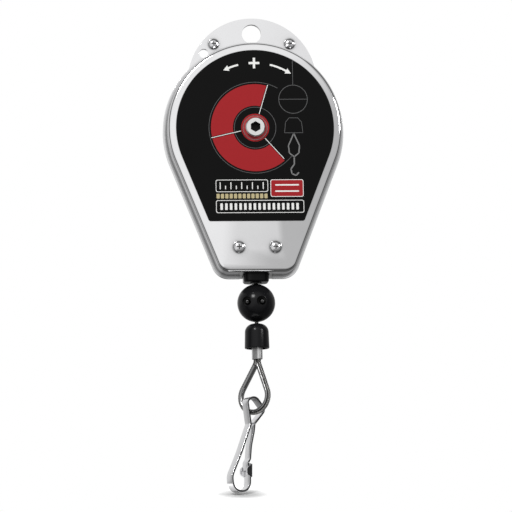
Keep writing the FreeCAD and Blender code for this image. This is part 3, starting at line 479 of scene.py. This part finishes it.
def cone_blank(r0, r1, deep, place=Matrix.Identity(4), segments=48):
    """A cone along its own Z, r0 at its lower end and r1 at its upper end."""
    bm = bmesh.new()
    bmesh.ops.create_cone(bm, cap_ends=True, segments=segments, radius1=r0, radius2=r1, depth=deep,
                          matrix=place)
    return blank(bm)


def hexagon_nut(place, flats, thick, bore):
    """A chamfered nut below the origin of place."""
    corner = flats / math.sqrt(3)
    nut = cone_blank(corner, corner, thick, Matrix.Translation((0, 0, -thick / 2)), 6)
    wide, low = corner - 0.1, -thick - 0.02
    limit = [(wide, 0, 1), (wide, 0, -thick + 0.05), (flats * 0.47, 0, low), (0, 0, low), (0, 0, 1)]
    nut = boolean(nut, [blank(spun(limit, steps=64))], "INTERSECT")
    bm = back_to_bmesh(boolean(nut, [cone_blank(bore, bore, thick * 4)]))
    bmesh.ops.transform(bm, matrix=place, verts=bm.verts)
    return blank(bm)


def screw_pair(name, node, spot, y, sizes):
    """Two pan-head screws of the housing, beside each other."""
    heads = [pan_screw(toward_front(x, y, spot[1]), *sizes) for x in (-spot[0], spot[0])]
    finish_piece(name, joined(heads), ZINC, "housing", [node])


def nut_pair(name, node, spot, y, sizes):
    """Their two nuts at the back."""
    nuts = [hexagon_nut(toward_front(x, y, spot[1]), *sizes) for x in (-spot[0], spot[0])]
    finish_piece(name, joined(nuts), ZINC, "housing", [node])


screw_pair("crown_pan_screws", "crown_screws", CROWN_SCREW, -SHEET, (3.45, 2.3, 1.75, 6.4))
screw_pair("body_pan_screws", "body_screws", BODY_SCREW, FACE, (3.85, 2.6, 2.0, 39.0))
nut_pair("crown_hex_nuts", "crown_nuts", CROWN_SCREW, SHEET, (6.0, 2.8, 1.8))
nut_pair("body_hex_nuts", "body_nuts", BODY_SCREW, -FACE, (7.0, 3.2, 2.05))


def spindle():
    """The turned spindle with its key socket in front."""
    profile = [(0, 21.7), (5.6, 21.7), (6.25, 21.0), (6.25, 14.8), (8, 14.8), (8, 14), (6, 14), (6, -10.5),
               (4, -13.4), (4, -18.0), (3.5, -18.5), (0, -18.5)]
    bar = blank(spun([(x, 0, z) for x, z in profile], steps=96))
    socket = cone_blank(3.42, 3.5, 12, Matrix.Translation((0, 0, 21.7)), 6)
    wheel_seat = cone_blank(5.19, 5.19, 2.8, Matrix.Translation((0, 0, -11.9)), 6)
    whole = boolean(boolean(bar, [socket]), [wheel_seat], "UNION")
    bm = back_to_bmesh(whole)
    bmesh.ops.transform(bm, matrix=toward_front(0, 0, AXIS), verts=bm.verts)
    piece = finish_piece("key_spindle", bm, STEEL, "spindle", ["adjusting_spindle"])
    piece.data.materials.append(SOCKET_SHADE)
    # painted shade: the socket's inside faces take the near-black finish
    for face in piece.data.polygons:
        spot = face.center / MM
        in_socket = math.hypot(spot.x, spot.z - AXIS) < 3.49 and -21.6 < spot.y < -15
        face.material_index = 1 if in_socket else 0


spindle()


def outlet():
    """Black outlet guide: ears behind the body screws, nose through the wall, small nozzle."""
    corners = [(side * x, AXIS - drop, r, 48) for x, drop, r in ((11.7, 76.2, 3.9), (13.6, 84, 2.0))
               for side in (-1, 1)]
    ears = blank(hull_prism(bmesh.new(), corners, -15.9, 15.9))
    bm = hull_prism(bmesh.new(), [(x, z, 5.0, 64) for x in (-3.1, 3.1) for z in (-3.1, 3.1)], 0, 11.6)
    bevel_where(bm, at_y(0), 1.3, 5)
    bmesh.ops.transform(bm, matrix=toward_front(0, 0, AXIS - 96.6), verts=bm.verts)
    nozzle = cone_blank(3.7, 3.9, 3, Matrix.Translation((0, 0, AXIS - 95.6)), 64)
    whole = boolean(ears, [blank(bm), nozzle], "UNION")
    tools = [cone_blank(1.6, 1.6, 40, Matrix.Translation((0, 0, AXIS - 90))),
             cone_blank(1.6, 8.0, 12.8, Matrix.Translation((0, 0, AXIS - 78.4)))]
    tools += [round_blank(2.1, -20, 20, x, BODY_SCREW[1]) for x in (-BODY_SCREW[0], BODY_SCREW[0])]
    finish_piece("outlet_nose", back_to_bmesh(boolean(whole, tools)), BLACK, "housing", ["outlet_guide"])


outlet()


# ------------------------------------------------------------ label print

FACING = Matrix.Rotation(math.radians(90), 4, "X")


def flat_piece(name, bm, finish, lift):
    """A printed layer: flat faces in the label's plane, lift mm proud of the sheet."""
    bmesh.ops.translate(bm, verts=bm.verts, vec=(0, LABEL_FACE - lift, AXIS))
    made = bmesh.ops.extrude_face_region(bm, geom=bm.faces[:])
    verts = [g for g in made["geom"] if isinstance(g, bmesh.types.BMVert)]
    bmesh.ops.translate(bm, verts=verts, vec=(0, PRINT_THICK + lift * 0.9, 0))
    finish_piece(name, bm, finish, "housing")


def arc_band(bm, r0, r1, start, end, x=0.0, z=0.0):
    """A flat band between two radii, from one angle to another, anti-clockwise from the right."""
    steps = max(int(abs(end - start) / 3), 2)
    a = math.radians(start)
    one = bm.verts.new((r0 * math.cos(a), 0, r0 * math.sin(a)))
    two = bm.verts.new((r1 * math.cos(a), 0, r1 * math.sin(a)))
    edge = bm.edges.new((one, two))
    before = set(bm.verts) - {one, two}
    full = abs(end - start) >= 360
    bmesh.ops.spin(bm, geom=[one, two, edge], cent=(0, 0, 0), axis=(0, -1, 0),
                   angle=math.radians(end - start), steps=steps, use_merge=full)
    fresh = [v for v in bm.verts if v not in before]
    bmesh.ops.translate(bm, verts=fresh, vec=(x, 0, z))


def stroke(bm, x0, z0, x1, z1, width):
    """A straight printed line."""
    long = math.hypot(x1 - x0, z1 - z0)
    turn = Matrix.Rotation(-math.atan2(z1 - z0, x1 - x0), 4, "Y")
    centre = Matrix.Translation(((x0 + x1) / 2, 0, (z0 + z1) / 2))
    place = centre @ turn @ Matrix.Diagonal((long, 1, width, 1)) @ FACING
    bmesh.ops.create_grid(bm, x_segments=1, y_segments=1, size=0.5, matrix=place)


def spoke(bm, angle, r0, r1, width):
    """A printed line from one radius to another."""
    c, s = math.cos(math.radians(angle)), math.sin(math.radians(angle))
    stroke(bm, r0 * c, r0 * s, r1 * c, r1 * s, width)


def rounded_box(bm, x0, x1, z0, z1, radius):
    """A filled box with round corners."""
    made = bmesh.ops.create_grid(bm, x_segments=1, y_segments=1, size=0.5, matrix=FACING)
    verts = made["verts"]
    bmesh.ops.scale(bm, vec=(x1 - x0, 1, z1 - z0), verts=verts)
    bmesh.ops.translate(bm, vec=((x0 + x1) / 2, 0, (z0 + z1) / 2), verts=verts)
    bmesh.ops.bevel(bm, geom=verts, offset=radius, offset_type="OFFSET", affect="VERTICES", segments=5,
                    profile=0.5, material=-1, clamp_overlap=True)


def outline_path(bm, points, width, closed=False):
    """Printed lines from point to point."""
    pairs = list(zip(points, points[1:] + ([points[0]] if closed else [])))
    for (x0, z0), (x1, z1) in pairs:
        stroke(bm, x0, z0, x1, z1, width)


def dial():
    """The red sector round the spindle, with its rings and spokes."""
    red = bmesh.new()
    arc_band(red, 14.1, 28.0, 73, 312)
    flat_piece("print_red_sector", red, RED, 0.02)
    ring = bmesh.new()
    arc_band(ring, 8.0, 8.9, 0, 360)
    flat_piece("print_red_ring", ring, RED, 0.02)
    thin = bmesh.new()
    arc_band(thin, 13.0, 13.3, 0, 360)
    arc_band(thin, 29.1, 29.4, 60, 324)
    flat_piece("print_thin_rings", thin, GREY, 0.02)
    gaps, spokes = bmesh.new(), bmesh.new()
    for angle, reach in ((73, 28.6), (193, 28.6), (312, 27.0)):
        spoke(gaps, angle, 14.0, 28.3, 1.25)
        spoke(spokes, angle, 9.1, reach, 0.42)
    flat_piece("print_spoke_gaps", gaps, INK, 0.04)
    flat_piece("print_spokes", spokes, WHITE, 0.06)


def turn_marks():
    """A plus sign between two arrows that point along the round of the label."""
    marks = bmesh.new()
    for start, end, tip, way in ((104, 113, 113, -1), (61, 76, 61, 1)):
        arc_band(marks, 41.1, 42.3, start, end)
        a = math.radians(tip)
        here = Vector((41.7 * math.cos(a), 0, 41.7 * math.sin(a)))
        ahead = Vector((math.sin(a), 0, -math.cos(a))) * way
        side = Vector((ahead.z, 0, -ahead.x))
        corners = [marks.verts.new(here + step) for step in (side * 1.9, ahead * 3.6, side * -1.9)]
        marks.faces.new(corners)
    stroke(marks, -3.4, 41.6, -0.75, 41.6, 1.5)
    stroke(marks, 0.75, 41.6, 3.4, 41.6, 1.5)
    stroke(marks, 0, 38.2, 0, 45.0, 1.5)
    flat_piece("print_turn_marks", marks, WHITE, 0.03)


def schematic():
    """Plain line drawing of the cable, ball, cap, loop and hook."""
    art = bmesh.new()
    outline_path(art, [(24.4, 43.8), (24.4, 27.4)], 0.3)
    arc_band(art, 8.9, 9.25, 0, 360, 24.4, 18.2)
    outline_path(art, [(15.4, 18.2), (33.4, 18.2)], 0.3)
    cap = [(18.6, -3.4), (19.3, 3.4), (21.6, 6.2), (27.2, 6.2), (29.5, 3.4), (30.2, -3.4)]
    outline_path(art, cap, 0.3, closed=True)
    flat_piece("print_schematic", art, GREY, 0.02)
    rope = bmesh.new()
    loop = [(24.4, -3.8), (20.9, -11.6), (21.4, -16.4), (24.4, -18.8), (27.4, -16.4), (27.9, -11.6)]
    outline_path(rope, loop, 0.8, closed=True)
    bend = [(24.4, -19.2), (24.4, -23.6), (22.2, -26.6), (22.8, -29.6), (25.4, -30.8), (27.2, -28.8)]
    outline_path(rope, bend, 0.9)
    flat_piece("print_schematic_hook", rope, PALE, 0.02)


def plates():
    """The framed fields at the foot of the label, filled with plain bars."""
    frames = bmesh.new()
    rounded_box(frames, -25.6, 7.5, -41.2, -33.3, 1.2)
    rounded_box(frames, 9.0, 29.9, -44.4, -33.3, 1.2)
    rounded_box(frames, -25.6, 30.1, -54.6, -46.4, 1.2)
    flat_piece("print_frames", frames, WHITE, 0.02)
    fields = bmesh.new()
    rounded_box(fields, -25.2, 7.1, -40.8, -33.7, 1.0)
    rounded_box(fields, -25.2, 29.7, -54.2, -46.8, 1.0)
    flat_piece("print_black_fields", fields, INK, 0.045)
    field = bmesh.new()
    rounded_box(field, 9.4, 29.5, -44.0, -33.7, 1.0)
    flat_piece("print_red_field", field, RED, 0.045)
    strip_marks = bmesh.new()
    for k in range(12):
        rounded_box(strip_marks, -25.2 + 2.75 * k, -23.2 + 2.75 * k, -45.3, -42.3, 0.4)
    flat_piece("print_cream_strip", strip_marks, CREAM, 0.03)
    bars = bmesh.new()
    for k in range(9):
        x = -22.8 + 3.4 * k
        stroke(bars, x, -39.4, x, -37.2 if k % 2 else -35.0, 0.6)
    for k in range(17):
        rounded_box(bars, -22.9 + 3.0 * k, -21.3 + 3.0 * k, -52.6, -48.4, 0.3)
    for z in (-36.8, -40.8):
        stroke(bars, 12.0, z, 27.0, z, 0.9)
    flat_piece("print_bars", bars, WHITE, 0.06)


dial()
turn_marks()
schematic()
plates()


# ------------------------------------------------------------ load end

def turned(degrees, axis):
    """A turn about a named axis."""
    return Matrix.Rotation(math.radians(degrees), 4, axis)


BALL = Matrix.Translation((0, 0, BALL_HEIGHT)) @ turned(-11, "Z")
FERRULE = Matrix.Translation((0, 0, AXIS - 145.4)) @ turned(-36, "Z")
LOOP = Matrix.Translation((0, 0, AXIS - 147.4)) @ turned(6, "Y") @ turned(-36, "Z")
HOOK = Matrix.Translation((-5.9, -0.95, AXIS - 186.6)) @ turned(34.5, "Z")


def ball_half(name, node, front):
    """Half of the stop ball, with its screw recesses and an eased parting edge."""
    bm = bmesh.new()
    bmesh.ops.create_uvsphere(bm, u_segments=128, v_segments=64, radius=BALL_R)
    # turned a little, so that no edge of the sphere lies in the parting plane
    bmesh.ops.rotate(bm, matrix=Matrix.Rotation(math.radians(1.4), 3, "Z"), verts=bm.verts)
    ball = blank(bm)
    away = box_blank((-20, 0, -20), (20, 30, 20)) if front else box_blank((-20, -30, -20), (20, 0, 20))
    tools = [cone_blank(1.3, 1.3, 40), away]
    for x in (-BALL_SCREW_X, BALL_SCREW_X):
        if front:
            tools.append(round_blank(3.0, -30.0, -6.2, x, 0, 64))
        else:
            tools.append(round_blank(2.95, 6.2, 30.0, x, 0, 6))
        tools.append(round_blank(1.3, -19, 19, x, 0, 32))
    bm = back_to_bmesh(boolean(ball, tools))
    bmesh.ops.transform(bm, matrix=BALL, verts=bm.verts)
    soft_edges(finish_piece(name, bm, BLACK, "load_end", [node]), 0.18, 2, 50)


ball_half("ball_half_front", "ball_front", True)
ball_half("ball_half_rear", "ball_rear", False)
# the ball's screws take the dark finish, painted shade for their recesses
ball_heads = [pan_screw(BALL @ toward_front(x, -6.2, 0), 1.9, 2.4, 1.25, 14.6)
              for x in (-BALL_SCREW_X, BALL_SCREW_X)]
finish_piece("ball_pan_screws", joined(ball_heads), DARK_SCREW_SHADE, "load_end", ["ball_screws"])


def bell():
    """Moulded cap with a domed top and a hollow skirt."""
    roof, throat = BELL_BOTTOM + 7.3, BELL_TOP - 1.8
    profile = softened(
        [(1.4, 0, BELL_TOP), (7.4, 0, BELL_TOP), (7.85, 0, BELL_BOTTOM), (6.5, 0, BELL_BOTTOM),
         (6.35, 0, roof), (3.2, 0, roof), (1.4, 0, throat), (1.4, 0, BELL_TOP)],
        [0, 5.4, 0.55, 0.4, 0.5, 0.4, 0, 0], steps=10)
    finish_piece("bell_moulding", spun(profile, steps=96), BLACK, "load_end", ["bell_cap"])


bell()


def crimp():
    """Pressed oval ferrule with a bore for each leg of the cable."""
    legs = (-LEG_X, LEG_X)
    bm = hull_prism(bmesh.new(), [(x, 0, 2.3, 64) for x in legs], 0, FERRULE_LONG)
    bevel_where(bm, lambda e: at_y(0)(e) or at_y(FERRULE_LONG)(e), 0.45, 4)
    bmesh.ops.transform(bm, matrix=FERRULE @ turned(90, "X"), verts=bm.verts)
    bores = [cone_blank(1.27, 1.27, 40, FERRULE @ Matrix.Translation((x, 0, 7.4)), 32) for x in legs]
    whole = boolean(blank(bm), bores)
    finish_piece("crimp_sleeve", back_to_bmesh(whole), CRIMP, "load_end", ["ferrule"])


crimp()


def follow(bm, ring, points, radii, step, lay=0.0):
    """Draws a ring of edges along straight runs and bends; lay turns it, in degrees a mm."""
    at = points[0]
    for i in range(1, len(points)):
        before = (points[i] - points[i - 1]).normalized()
        last = i == len(points) - 1
        reach = 0.0
        if not last:
            after = (points[i + 1] - points[i]).normalized()
            angle = before.angle(after)
            reach = radii[i] * math.tan(angle / 2)
        stop = points[i] - before * reach
        run = (stop - at).length
        if run > 1e-3:
            count = max(int(run / step), 1)
            move = Matrix.Translation(before * run / count)
            for _ in range(count):
                ring, at = drawn(bm, ring, move, at, before, lay * run / count)
        if last or angle < 1e-4:
            continue
        axis = before.cross(after).normalized()
        centre = stop + axis.cross(before) * radii[i]
        count = max(int(radii[i] * angle / step), int(math.degrees(angle) / 8), 1)
        turn = Matrix.Rotation(angle / count, 4, axis)
        move = Matrix.Translation(centre) @ turn @ Matrix.Translation(-centre)
        for k in range(count):
            heading = Matrix.Rotation(angle * (k + 1) / count, 4, axis) @ before
            ring, at = drawn(bm, ring, move, at, heading, lay * radii[i] * angle / count)
    return ring


def drawn(bm, ring, move, at, heading, twist):
    """One step of follow: the ring is extruded, moved and turned about its heading."""
    made = bmesh.ops.extrude_edge_only(bm, edges=ring)
    verts = [g for g in made["geom"] if isinstance(g, bmesh.types.BMVert)]
    edges = [g for g in made["geom"] if isinstance(g, bmesh.types.BMEdge)]
    bmesh.ops.transform(bm, matrix=move, verts=verts)
    at = move @ at
    if twist:
        bmesh.ops.rotate(bm, cent=at, matrix=Matrix.Rotation(math.radians(twist), 3, heading), verts=verts)
    kept = set(verts)
    return [e for e in edges if e.verts[0] in kept and e.verts[1] in kept], at


def section_ring(bm, outline, place):
    """A closed ring of edges from (x, y) pairs, put in place."""
    verts = [bm.verts.new(place @ Vector((x, y, 0))) for x, y in outline]
    return [bm.edges.new((a, b)) for a, b in zip(verts, verts[1:] + verts[:1])]


def swept(outline, place, points, radii, step, lay=0.0):
    """A closed bar of the given section along a route."""
    bm = bmesh.new()
    ring = section_ring(bm, outline, place)
    start = ring[:]
    end = follow(bm, ring, [Vector(p) for p in points], radii, step, lay)
    for loop in (start, end):
        bmesh.ops.edgeloop_fill(bm, edges=loop)
    return bm


def strand_outline(radius, strands=6, fine=6):
    """The section of a rope: six strands round a core."""
    out = []
    for k in range(strands * fine):
        angle = math.tau * k / (strands * fine)
        swell = abs(math.cos(strands * angle / 2))
        reach = radius * (0.76 + 0.24 * math.sqrt(swell))
        out.append((reach * math.cos(angle), reach * math.sin(angle)))
    return out


def box_outline(thick, wide, radius=0.18):
    """The section of a flat strip with eased corners."""
    a, b = thick / 2, wide / 2
    out = []
    for sx, sy, start in ((1, 1, 0), (-1, 1, 90), (-1, -1, 180), (1, -1, 270)):
        for k in range(4):
            angle = math.radians(start + 30 * k)
            x, y = sx * (a - radius), sy * (b - radius)
            out.append((x + radius * math.cos(angle), y + radius * math.sin(angle)))
    return out


# how far the straight legs of the loop lean out, so that they touch its round
LEG = math.atan2(LOOP_DROP, LEG_X) - math.acos(LOOP_R / math.hypot(LEG_X, LOOP_DROP))


def loop_corners():
    """The corners of the route round the bottom of the loop."""
    span = math.pi + 2 * LEG
    out = []
    for k in range(3):
        angle = math.pi - LEG + (k + 0.5) * span / 3
        reach = LOOP_R / math.cos(span / 6)
        out.append(LOOP @ Vector((reach * math.cos(angle), 0, reach * math.sin(angle) - LOOP_DROP)))
    return out


def load_rope():
    """Stranded cable from the outlet through ball, cap and ferrule and round the loop."""
    left, right = LOOP @ Vector((-LEG_X, 0, 0)), LOOP @ Vector((LEG_X, 0, 0))
    points = [(0, 0, AXIS - 97.35), (0, 0, AXIS - 126.6), (left.x, left.y, AXIS - 129.6), left]
    points += loop_corners() + [right, (right.x, right.y, AXIS - 131.1)]
    radii = [0, 8, 8, 6, LOOP_R, LOOP_R, LOOP_R, 6, 0]
    bm = swept(strand_outline(CABLE_R), Matrix.Translation(points[0]), points, radii, 0.3, STRAND_LAY)
    finish_piece("load_rope", bm, ROPE, "load_end", ["load_cable"], smooth=60)


load_rope()


def thimble():
    """Grooved thimble: both halves drawn up from the bottom of the loop."""
    outline = [(0.3, 1.5), (0.25, 2.0), (0.5, 2.2), (1.2, 2.2), (1.9, 1.7), (2.15, 0.9),
               (2.15, -0.9), (1.9, -1.7), (1.2, -2.2), (0.5, -2.2), (0.25, -2.0), (0.3, -1.5)]
    for k in range(9):
        angle = math.radians(-76 + 19 * k)
        outline.append((1.33 * math.cos(angle), 1.38 * math.sin(angle)))
    bottom = Vector((0, 0, -LOOP_DROP - LOOP_R))
    top_x = 2.15 * math.cos(LEG) + 0.12
    top_z = -(top_x - LEG_X) / math.tan(LEG)
    corner_span = (math.pi / 2 + LEG) / 2
    reach = LOOP_R / math.cos(corner_span / 2)
    bm = bmesh.new()
    for side in (1, -1):
        aim = Matrix(((0, 0, side, 0), (0, side, 0, 0), (1, 0, 0, 0), (0, 0, 0, 1)))
        points = [bottom]
        for k in (0.5, 1.5):
            angle = -math.pi / 2 + k * corner_span
            points.append(Vector((side * reach * math.cos(angle), 0, reach * math.sin(angle) - LOOP_DROP)))
        points.append(Vector((side * top_x, 0, top_z)))
        ring = section_ring(bm, outline, Matrix.Translation(bottom) @ aim)
        end = follow(bm, ring, points, [0, LOOP_R, LOOP_R, 0], 0.5)
        bmesh.ops.edgeloop_fill(bm, edges=end)
    bmesh.ops.remove_doubles(bm, verts=bm.verts, dist=1e-3)
    bmesh.ops.transform(bm, matrix=LOOP, verts=bm.verts)
    finish_piece("thimble_channel", bm, THIMBLE, "load_end", ["thimble"], smooth=40)


thimble()


# ------------------------------------------------------------ hook

HOOK_ROUTE = [(-1.7, -25), (-2.05, -33), (-2.3, -42.75), (-15.4, -42.75), (-16.3, -33.4),
              (-8.4, -17.9), (-0.65, -0.1), (-2.9, 14.6), (3, 18.6), (11.2, 9.6), (2.7, 0.6)]
HOOK_BENDS = [0, 40, 6.3, 6, 8, 20, 0.8, 2.2, 5, 3, 0]
GATE_ROUTE = [(2.5, 0), (1.75, -4.8), (-0.65, -13.7), (-1.6, -22), (-3.35, -24.6), (-3.5, -29.5)]
GATE_BENDS = [0, 10, 20, 2, 2, 0]
EAR = [(-1.1, -25), (-5.3, -28.2), (-5.3, -32), (-1.4, -34)]
EAR_THICK = 1.0


def strip(route, bends, wide):
    """Steel strip bent along a route in the hook's own plane."""
    points = [Vector((x, 0, z)) for x, z in route]
    way = (points[1] - points[0]).normalized()
    across = Vector((0, 1, 0)).cross(way)
    place = Matrix.Translation(points[0]) @ Matrix((
        (across.x, 0, way.x, 0), (across.y, 1, way.y, 0), (across.z, 0, way.z, 0), (0, 0, 0, 1)))
    return swept(box_outline(STRIP_THICK, wide), place, points, bends, 1.0)


def shade_strip_edges(piece):
    """Paints shade on a strip: the faces across it, its edges and the ears' outer faces, take a dark copy
    of its metal.
    """
    across = HOOK.to_3x3() @ Vector((0, 1, 0))
    piece.data.materials.append(EDGE_SHADE)
    centre = HOOK.translation * MM
    for face in piece.data.polygons:
        facing, side = face.normal.dot(across), (face.center - centre).dot(across)
        face.material_index = 1 if abs(facing) > 0.8 and facing * side > 0 else 0


def ear(low):
    """One of the two cheeks that guide the gate."""
    bm = bmesh.new()
    verts = [bm.verts.new((x, low, z)) for x, z in EAR]
    bm.faces.new(verts)
    bmesh.ops.bevel(bm, geom=verts, offset=0.7, offset_type="OFFSET", affect="VERTICES", segments=4,
                    profile=0.5, material=-1)
    made = bmesh.ops.extrude_face_region(bm, geom=bm.faces[:])
    top = [g for g in made["geom"] if isinstance(g, bmesh.types.BMVert)]
    bmesh.ops.translate(bm, verts=top, vec=(0, EAR_THICK, 0))
    return blank(bm)


def hook():
    """Snap hook with its two ears, and the spring gate that closes it."""
    bm = strip(HOOK_ROUTE, HOOK_BENDS, STRIP_WIDE)
    bmesh.ops.recalc_face_normals(bm, faces=bm.faces)
    body = blank(bm)
    ears = [ear(STRIP_WIDE / 2), ear(-STRIP_WIDE / 2 - EAR_THICK)]
    bm = back_to_bmesh(boolean(body, ears, "UNION"))
    bmesh.ops.transform(bm, matrix=HOOK, verts=bm.verts)
    piece = finish_piece("hook_strip", bm, STRIP, "hook", ["snap_hook"], smooth=40)
    shade_strip_edges(piece)
    soft_edges(piece, 0.12, 2, 60, harden=False)
    bm = strip(GATE_ROUTE, GATE_BENDS, GATE_WIDE)
    bmesh.ops.transform(bm, matrix=HOOK, verts=bm.verts)
    shade_strip_edges(finish_piece("gate_strip", bm, STRIP, "gate", ["hook_gate"], smooth=40))


hook()


def exposed_cable():
    """The length that draws out between the outlet and the ball as the load comes down."""
    low, high, count = AXIS - 97.7, AXIS - 96.9, 24
    at = Vector((0, 0, high))
    bm = bmesh.new()
    ring = section_ring(bm, strand_outline(1.24), Matrix.Translation(at))
    top = ring[:]
    move = Matrix.Translation((0, 0, (low - high) / count))
    for _ in range(count):
        ring, at = drawn(bm, ring, move, at, Vector((0, 0, 1)), STRAND_LAY)
    for loop in (top, ring):
        bmesh.ops.edgeloop_fill(bm, edges=loop)
    bmesh.ops.remove_doubles(bm, verts=bm.verts, dist=1e-6)
    piece = finish_piece("paid_out_cable", bm, ROPE, smooth=60)
    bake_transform(piece)


exposed_cable()


# ------------------------------------------------------------ studio

def ranged(tree, value, start, end, low=0.0, high=1.0):
    """A socket's value taken from one range to another."""
    node = tree.nodes.new("ShaderNodeMapRange")
    for name, level in (("From Min", start), ("From Max", end), ("To Min", low), ("To Max", high)):
        node.inputs[name].default_value = level
    tree.links.new(value, node.inputs["Value"])
    return node


def product(tree, one, other):
    """Two sockets multiplied."""
    node = tree.nodes.new("ShaderNodeMath")
    node.operation = "MULTIPLY"
    tree.links.new(one, node.inputs[0])
    tree.links.new(other, node.inputs[1])
    return node.outputs[0]


def floor_finish(lie):
    """Pale floor with painted light: its emission grows from nothing at its middle to full at its edge, so
    the edge runs into the white all round and the middle is a painted shadow over the real one.
    """
    made = bpy.data.materials.new("pale_floor_painted_glow")
    made.use_nodes = True
    tree = made.node_tree
    shader = tree.nodes["Principled BSDF"]
    shader.inputs["Base Color"].default_value = (0.6, 0.6, 0.6, 1)
    shader.inputs["Roughness"].default_value = 0.9
    shader.inputs["Specular IOR Level"].default_value = 0.1
    shader.inputs["Emission Color"].default_value = (1, 1, 1, 1)
    away = tree.nodes.new("ShaderNodeVectorMath")
    away.operation = "DISTANCE"
    away.inputs[1].default_value = lie.translation
    tree.links.new(tree.nodes.new("ShaderNodeTexCoord").outputs["Object"], away.inputs[0])
    painted_glow = ranged(tree, away.outputs["Value"], GLOW_START, GLOW_FULL)
    painted_glow.interpolation_type = "SMOOTHSTEP"
    tree.links.new(painted_glow.outputs["Result"], shader.inputs["Emission Strength"])
    return made


def floor():
    """Small disc under the hook, tilted away from a camera that looks up from below."""
    bpy.ops.mesh.primitive_circle_add(vertices=96, radius=FLOOR_R, fill_type="NGON")
    made = bpy.context.active_object
    made.name = "floor"
    lie = Matrix.Translation(FLOOR_PLACE) @ turned(FLOOR_TILT, "X")
    made.data.transform(lie)
    made.data.materials.append(floor_finish(lie))


def lamp(name, place, target, size, power):
    """A square area lamp that points at a target; metres and watts."""
    data = bpy.data.lights.new(name, "AREA")
    data.shape = "RECTANGLE"
    data.size = data.size_y = size
    data.energy = power
    made = bpy.data.objects.new(name, data)
    bpy.context.scene.collection.objects.link(made)
    made.location = place
    made.rotation_euler = (Vector(target) - Vector(place)).to_track_quat("-Z", "Y").to_euler()


def surroundings():
    """White for the camera; for the metal, grey bands from behind the camera (0) to ahead (1)."""
    world = bpy.context.scene.world or bpy.data.worlds.new("studio")
    bpy.context.scene.world = world
    world.use_nodes = True
    tree = world.node_tree
    nodes, links = tree.nodes, tree.links
    nodes.clear()
    heading = nodes.new("ShaderNodeTexCoord").outputs["Generated"]
    split = nodes.new("ShaderNodeSeparateXYZ")
    links.new(heading, split.inputs["Vector"])
    ramp = nodes.new("ShaderNodeValToRGB")
    first, last = ramp.color_ramp.elements[0], ramp.color_ramp.elements[1]
    first.position, last.position = 0.0, 1.0
    first.color, last.color = (0.96, 0.96, 0.96, 1), (0.92, 0.92, 0.92, 1)
    for spot, level in BANDS:
        stop = ramp.color_ramp.elements.new(spot)
        stop.color = (level, level, level, 1)
    links.new(ranged(tree, split.outputs["Y"], -1, 1).outputs["Result"], ramp.inputs["Fac"])
    # ahead of the camera the lower half is dimmer
    behind = nodes.new("ShaderNodeMath")
    behind.operation = "GREATER_THAN"
    behind.inputs[1].default_value = 0.1
    links.new(split.outputs["Y"], behind.inputs[0])
    dim = nodes.new("ShaderNodeMix")
    dim.data_type = "FLOAT"
    dim.inputs[2].default_value = 1.0
    links.new(behind.outputs[0], dim.inputs[0])
    links.new(ranged(tree, split.outputs["Z"], -0.12, 0.02, 0.60).outputs["Result"], dim.inputs[3])
    # all round, what lies far below is dimmer, and so is the lower right
    under = ranged(tree, split.outputs["Z"], -0.62, -0.28, 0.50)
    fall = nodes.new("ShaderNodeVectorMath")
    fall.operation = "DOT_PRODUCT"
    fall.inputs[1].default_value = (0.8, 0.0, -0.6)
    links.new(heading, fall.inputs[0])
    fade = ranged(tree, fall.outputs["Value"], -0.066, 0.018, 1.0, 0.55)
    both = product(tree, fade.outputs["Result"], under.outputs["Result"])
    around = nodes.new("ShaderNodeBackground")
    links.new(ramp.outputs["Color"], around.inputs["Color"])
    links.new(product(tree, dim.outputs[0], both), around.inputs["Strength"])
    seen = nodes.new("ShaderNodeBackground")
    seen.inputs["Color"].default_value = (1, 1, 1, 1)
    mix = nodes.new("ShaderNodeMixShader")
    links.new(nodes.new("ShaderNodeLightPath").outputs["Is Camera Ray"], mix.inputs["Fac"])
    links.new(around.outputs["Background"], mix.inputs[1])
    links.new(seen.outputs["Background"], mix.inputs[2])
    links.new(mix.outputs["Shader"], nodes.new("ShaderNodeOutputWorld").inputs["Surface"])


FLOOR_R, FLOOR_TILT = 0.034, 15              # metres, degrees
FLOOR_PLACE = (-0.011, -0.004, -0.2947)
# the floor's painted glow ramps up between these distances, leaving a painted shadow in its middle
GLOW_START, GLOW_FULL = 0.004, 0.030         # metres from the floor's middle
BANDS = ((0.12, 0.90), (0.20, 0.66), (0.26, 0.42), (0.30, 0.04), (0.41, 0.03), (0.45, 0.46),
         (0.55, 0.42), (0.61, 0.72))

lamp("key", (-0.45, -1.0, 0.65), (0, 0, -0.08), 0.35, 9)
lamp("fill", (0.85, -0.75, 0.25), (0, 0, -0.12), 0.3, 4)
floor()
surroundings()
bpy.context.scene.view_settings.view_transform = "Standard"


LENS = 300            # long, so that upright lines stay parallel
STEP = 0.000632       # metres across one of the 512 steps of the frame


def camera():
    """Looks up from a little below and to the left, turned by about a degree."""
    turn, rise, roll = math.radians(4.5), math.radians(8.8), math.radians(1.07)
    ahead = Vector((math.sin(turn) * math.cos(rise), math.cos(turn) * math.cos(rise), math.sin(rise)))
    right = Vector((math.cos(turn), -math.sin(turn), 0))
    up = right.cross(ahead)
    right, up = right * math.cos(roll) - up * math.sin(roll), up * math.cos(roll) + right * math.sin(roll)
    target = Vector((0, FACE * MM, AXIS * MM)) + (right * 0.88 - up * 128.3) * STEP
    data = bpy.data.cameras.new("camera")
    data.lens = LENS
    data.sensor_width = 36
    made = bpy.data.objects.new("camera", data)
    bpy.context.scene.collection.objects.link(made)
    made.location = target - ahead * (512 * STEP * LENS / 36)
    made.rotation_euler = Matrix((right, up, -ahead)).transposed().to_euler()
    bpy.context.scene.camera = made


camera()
